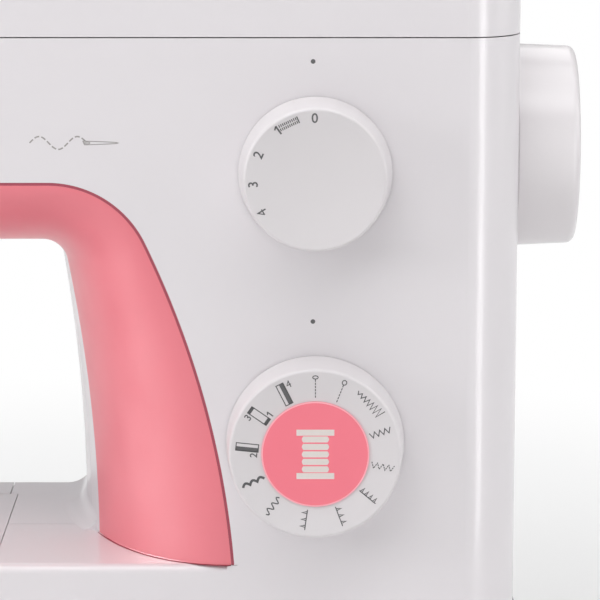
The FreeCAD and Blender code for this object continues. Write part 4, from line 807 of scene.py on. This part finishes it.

# Vents in the rear cover above the motor, drawn as flat black patches: painted shade where the slots would
# open into the body
ventSet = {"x": 118.0, "z": 74.0, "rows": 7, "pitch": 6.0, "half": 20.0, "width": 2.6}
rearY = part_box("rear_cover")[1].y
marks = []
for row in range(ventSet["rows"]):
    v = (row - (ventSet["rows"] - 1) / 2) * ventSet["pitch"]
    ends = roundCorner(ventSet["half"], v, ventSet["width"] / 2, -90, 90, 9)
    marks.append(patchOf(np.concatenate([ends, (ends * (-1, 1))[::-1]])))
printOn("rear_vents", marks, (ventSet["x"] * mm, 0, ventSet["z"] * mm), rearY,
        "machine", "black", "back")
print("marks set")


# a round wire along a line of points: rings of points stand square to the line, laid out from a direction
# that the line never runs along
def wireAlong(points, radius, aside, sides=12):
    p = np.asarray(points, float)
    way = np.gradient(p, axis=0)
    way = way / np.linalg.norm(way, axis=1)[:, None]
    across = np.cross(way, aside)
    across = across / np.linalg.norm(across, axis=1)[:, None]
    upright = np.cross(way, across)
    t = np.linspace(0, 2 * np.pi, sides, endpoint=False)
    ring = across[:, None, :] * np.cos(t)[None, :, None] + upright[:, None, :] * np.sin(t)[None, :, None]
    verts = (p[:, None, :] + radius * ring).reshape(-1, 3)
    faces = [list(f) for f in gridFaces(len(p), sides, True)]
    caps = [list(range(sides))[::-1], [(len(p) - 1) * sides + k for k in range(sides)]]
    return verts, faces + caps


# Thread guides: wire hooks on the top cover, open at one foot so the thread slips in
guideWire = {"radius": 0.9, "half": 4.5, "rise": 5.0, "sunk": 1.0, "open": 2.2,
             "places": ((-105.0, 30.0, 20.0), (-128.0, -34.0, 75.0))}
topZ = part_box("top_cover")[1].z / mm
h, rise = guideWire["half"], guideWire["rise"]
for number, (x, y, turn) in enumerate(guideWire["places"], 1):
    arch = roundCorner(0, rise, h, 180, 0, 25)
    foot = np.stack([np.full(6, -h), np.linspace(-guideWire["sunk"], rise, 7)[:-1]], axis=1)
    tail = np.stack([np.full(4, h), np.linspace(rise, guideWire["open"], 5)[1:]], axis=1)
    line = np.concatenate([foot, arch, tail])
    a = math.radians(turn)
    along, up = line[:, 0], line[:, 1]
    route = np.stack([x + along * math.cos(a), y + along * math.sin(a), topZ + up], axis=1) * mm
    verts, faces = wireAlong(route, guideWire["radius"] * mm, (-math.sin(a), math.cos(a), 0))
    makePiece("thread_guide_%d" % number, verts, faces, "machine", "steel", sharp=60.0)
print("thread guides bent")

# Presser spring: a coil between the bar's collar and the upper guide
springSet = {"wire": 0.8, "turns": 9.5, "lift": 6.0, "points": 230, "sides": 10}
low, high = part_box("presser_spring")
axisX, axisY = (low.x + high.x) / 2, (low.y + high.y) / 2
wire = springSet["wire"] * mm
coil = (high.x - low.x) / 2 - wire
t = np.linspace(0, 2 * np.pi * springSet["turns"], springSet["points"])
climb = np.linspace(low.z + wire, high.z - wire, springSet["points"])
route = np.stack([axisX + coil * np.cos(t), axisY + coil * np.sin(t), climb], axis=1)
verts, faces = wireAlong(route, wire, (0, 0, 1), springSet["sides"])
spring = makePiece("presser_spring_coil", verts, faces, "machine", "steel", sharp=60.0)
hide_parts("presser_spring")
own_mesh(spring)
print("presser spring wound")


# Light: broad softboxes all round, a panel mirrored in the flare and a strip mirrored in the pillar's corner
# a mirrored light only shows as a highlight, and one with "only" lights those pieces alone
lightSet = {
    "key": {"place": (-0.9, -1.8, 1.6), "aim": (0.08, -0.03, 0.2), "size": (1.4, 1.4), "power": 12.2},
    "top": {"place": (0.1, -0.2, 1.35), "aim": (0.1, -0.02, 0.2), "size": (1.8, 1.3), "power": 10.0},
    "near": {"place": (0.1, -0.5, 1.0), "aim": (0.1, -0.05, 0.25), "size": (0.8, 0.4), "power": 1.6},
    "left": {"place": (-1.2, -0.45, 0.55), "aim": (0.02, -0.03, 0.12), "size": (0.6, 0.5), "power": 6.0},
    "right": {"place": (1.3, -0.2, 0.6), "aim": (0.15, 0.0, 0.2), "size": (0.7, 0.9), "power": 4.8},
    "back": {"place": (-0.2, 1.6, 1.7), "aim": (0.0, 0.0, 0.15), "size": (1.6, 1.4), "power": 10.0},
    "panel": {"place": (-1.0, -0.22, 0.25), "aim": (0.05, -0.03, 0.15), "size": (0.86, 0.8), "power": 46.0,
              "mirror": True, "only": ("throat_panel_skin", "throat_strip", "throat_cove")},
    "strip": {"place": (0.334, -0.354, 0.17), "aim": (0.151, -0.056, 0.17), "size": (0.08, 0.4),
              "power": 0.55, "mirror": True},
}
for name, spec in lightSet.items():
    lamp = bpy.data.lights.new(name + "Light", "AREA")
    lamp.shape = "RECTANGLE"
    lamp.size, lamp.size_y = spec["size"]
    lamp.energy = spec["power"]
    holder = bpy.data.objects.new(name + "Light", lamp)
    holder.location = spec["place"]
    aim = Vector(spec["aim"]) - Vector(spec["place"])
    holder.rotation_euler = aim.to_track_quat("-Z", "Y").to_euler()
    holder.visible_camera = False
    holder.visible_diffuse = "mirror" not in spec
    if "only" in spec:
        chosen = bpy.data.collections.new(name + "Only")
        for piece in spec["only"]:
            chosen.objects.link(bpy.data.objects[piece])
        holder.light_linking.receiver_collection = chosen
    bpy.context.scene.collection.objects.link(holder)
    holder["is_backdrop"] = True


def joinMath(tree, operation, a, b):
    node = addNode(tree, "ShaderNodeMath", operation=operation)
    tree.links.new(a, node.inputs[0])
    tree.links.new(b, node.inputs[1])
    return node.outputs[0]


def smoothRange(tree, value, limits):
    ramp = addNode(tree, "ShaderNodeMapRange", interpolation_type="SMOOTHSTEP")
    for key, limit in limits.items():
        ramp.inputs[key].default_value = limit
    tree.links.new(value, ramp.inputs["Value"])
    return ramp.outputs[0]


def mixShaders(tree, share, first, second):
    node = addNode(tree, "ShaderNodeMixShader")
    for socket, source in zip(node.inputs, (share, first, second)):
        tree.links.new(source, socket)
    return node.outputs[0]


# the kinds of ray, and a value that is 1 on rays that see the room: straight on, mirrored or through
# clear plastic
def seenRays(tree):
    rays = addNode(tree, "ShaderNodeLightPath").outputs
    straight = joinMath(tree, "MAXIMUM", rays["Is Camera Ray"], rays["Is Glossy Ray"])
    return rays, joinMath(tree, "MAXIMUM", straight, rays["Is Transmission Ray"])


# Room: plain white where it is seen, dimmer behind the machine in mirror images, and a low fill all round
roomSet = {"fill": 0.22, "behind": {"From Min": -0.1, "From Max": 0.6, "To Min": 1.0, "To Max": 0.45}}
world = bpy.data.worlds.new("whiteRoom")
bpy.context.scene.world = world
world.use_nodes = True
tree = world.node_tree
tree.nodes.clear()
seen = addNode(tree, "ShaderNodeBackground")
fill = addNode(tree, "ShaderNodeBackground")
for background in (seen, fill):
    background.inputs["Color"].default_value = (1, 1, 1, 1)
fill.inputs["Strength"].default_value = roomSet["fill"]
rays, direct = seenRays(tree)
parts = addNode(tree, "ShaderNodeSeparateXYZ")
tree.links.new(addNode(tree, "ShaderNodeTexCoord").outputs["Generated"], parts.inputs[0])
behind = smoothRange(tree, parts.outputs["Y"], roomSet["behind"])
plain = joinMath(tree, "MAXIMUM", rays["Is Camera Ray"], rays["Is Transmission Ray"])
tree.links.new(joinMath(tree, "MAXIMUM", plain, behind), seen.inputs["Strength"])
room = mixShaders(tree, direct, fill.outputs[0], seen.outputs[0])
tree.links.new(room, addNode(tree, "ShaderNodeOutputWorld").inputs[0])
bpy.context.scene.view_settings.view_transform = "Standard"
print("lights set")


# Floor: takes the shadow under the machine and fades to plain white further out
floorSet = {"size": 3.0, "drop": 0.0002, "white": (244, 244, 244), "rough": 0.9,
            "fade": {"From Min": 0.30, "From Max": 0.65}}
s, z = floorSet["size"], -floorSet["drop"]
mesh = bpy.data.meshes.new("floor")
mesh.from_pydata([(-s, -s, z), (s, -s, z), (s, s, z), (-s, s, z)], [], [(0, 1, 2, 3)])
floor = bpy.data.objects.new("floor", mesh)
bpy.context.scene.collection.objects.link(floor)
floor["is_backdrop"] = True
mat, tree, shader, place = newMaterial("floorWhite")
shader.inputs["Base Color"].default_value = tint(*floorSet["white"])
shader.inputs["Roughness"].default_value = floorSet["rough"]
glow = addNode(tree, "ShaderNodeEmission")
reach = addNode(tree, "ShaderNodeVectorMath", operation="LENGTH")
tree.links.new(place, reach.inputs[0])
fade = smoothRange(tree, reach.outputs["Value"], floorSet["fade"])
rays, direct = seenRays(tree)
share = joinMath(tree, "MULTIPLY", fade, direct)
surface = mixShaders(tree, share, shader.outputs[0], glow.outputs[0])
tree.links.new(surface, tree.nodes["Material Output"].inputs[0])
floor.data.materials.append(mat)
print("floor laid")

low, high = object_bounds()
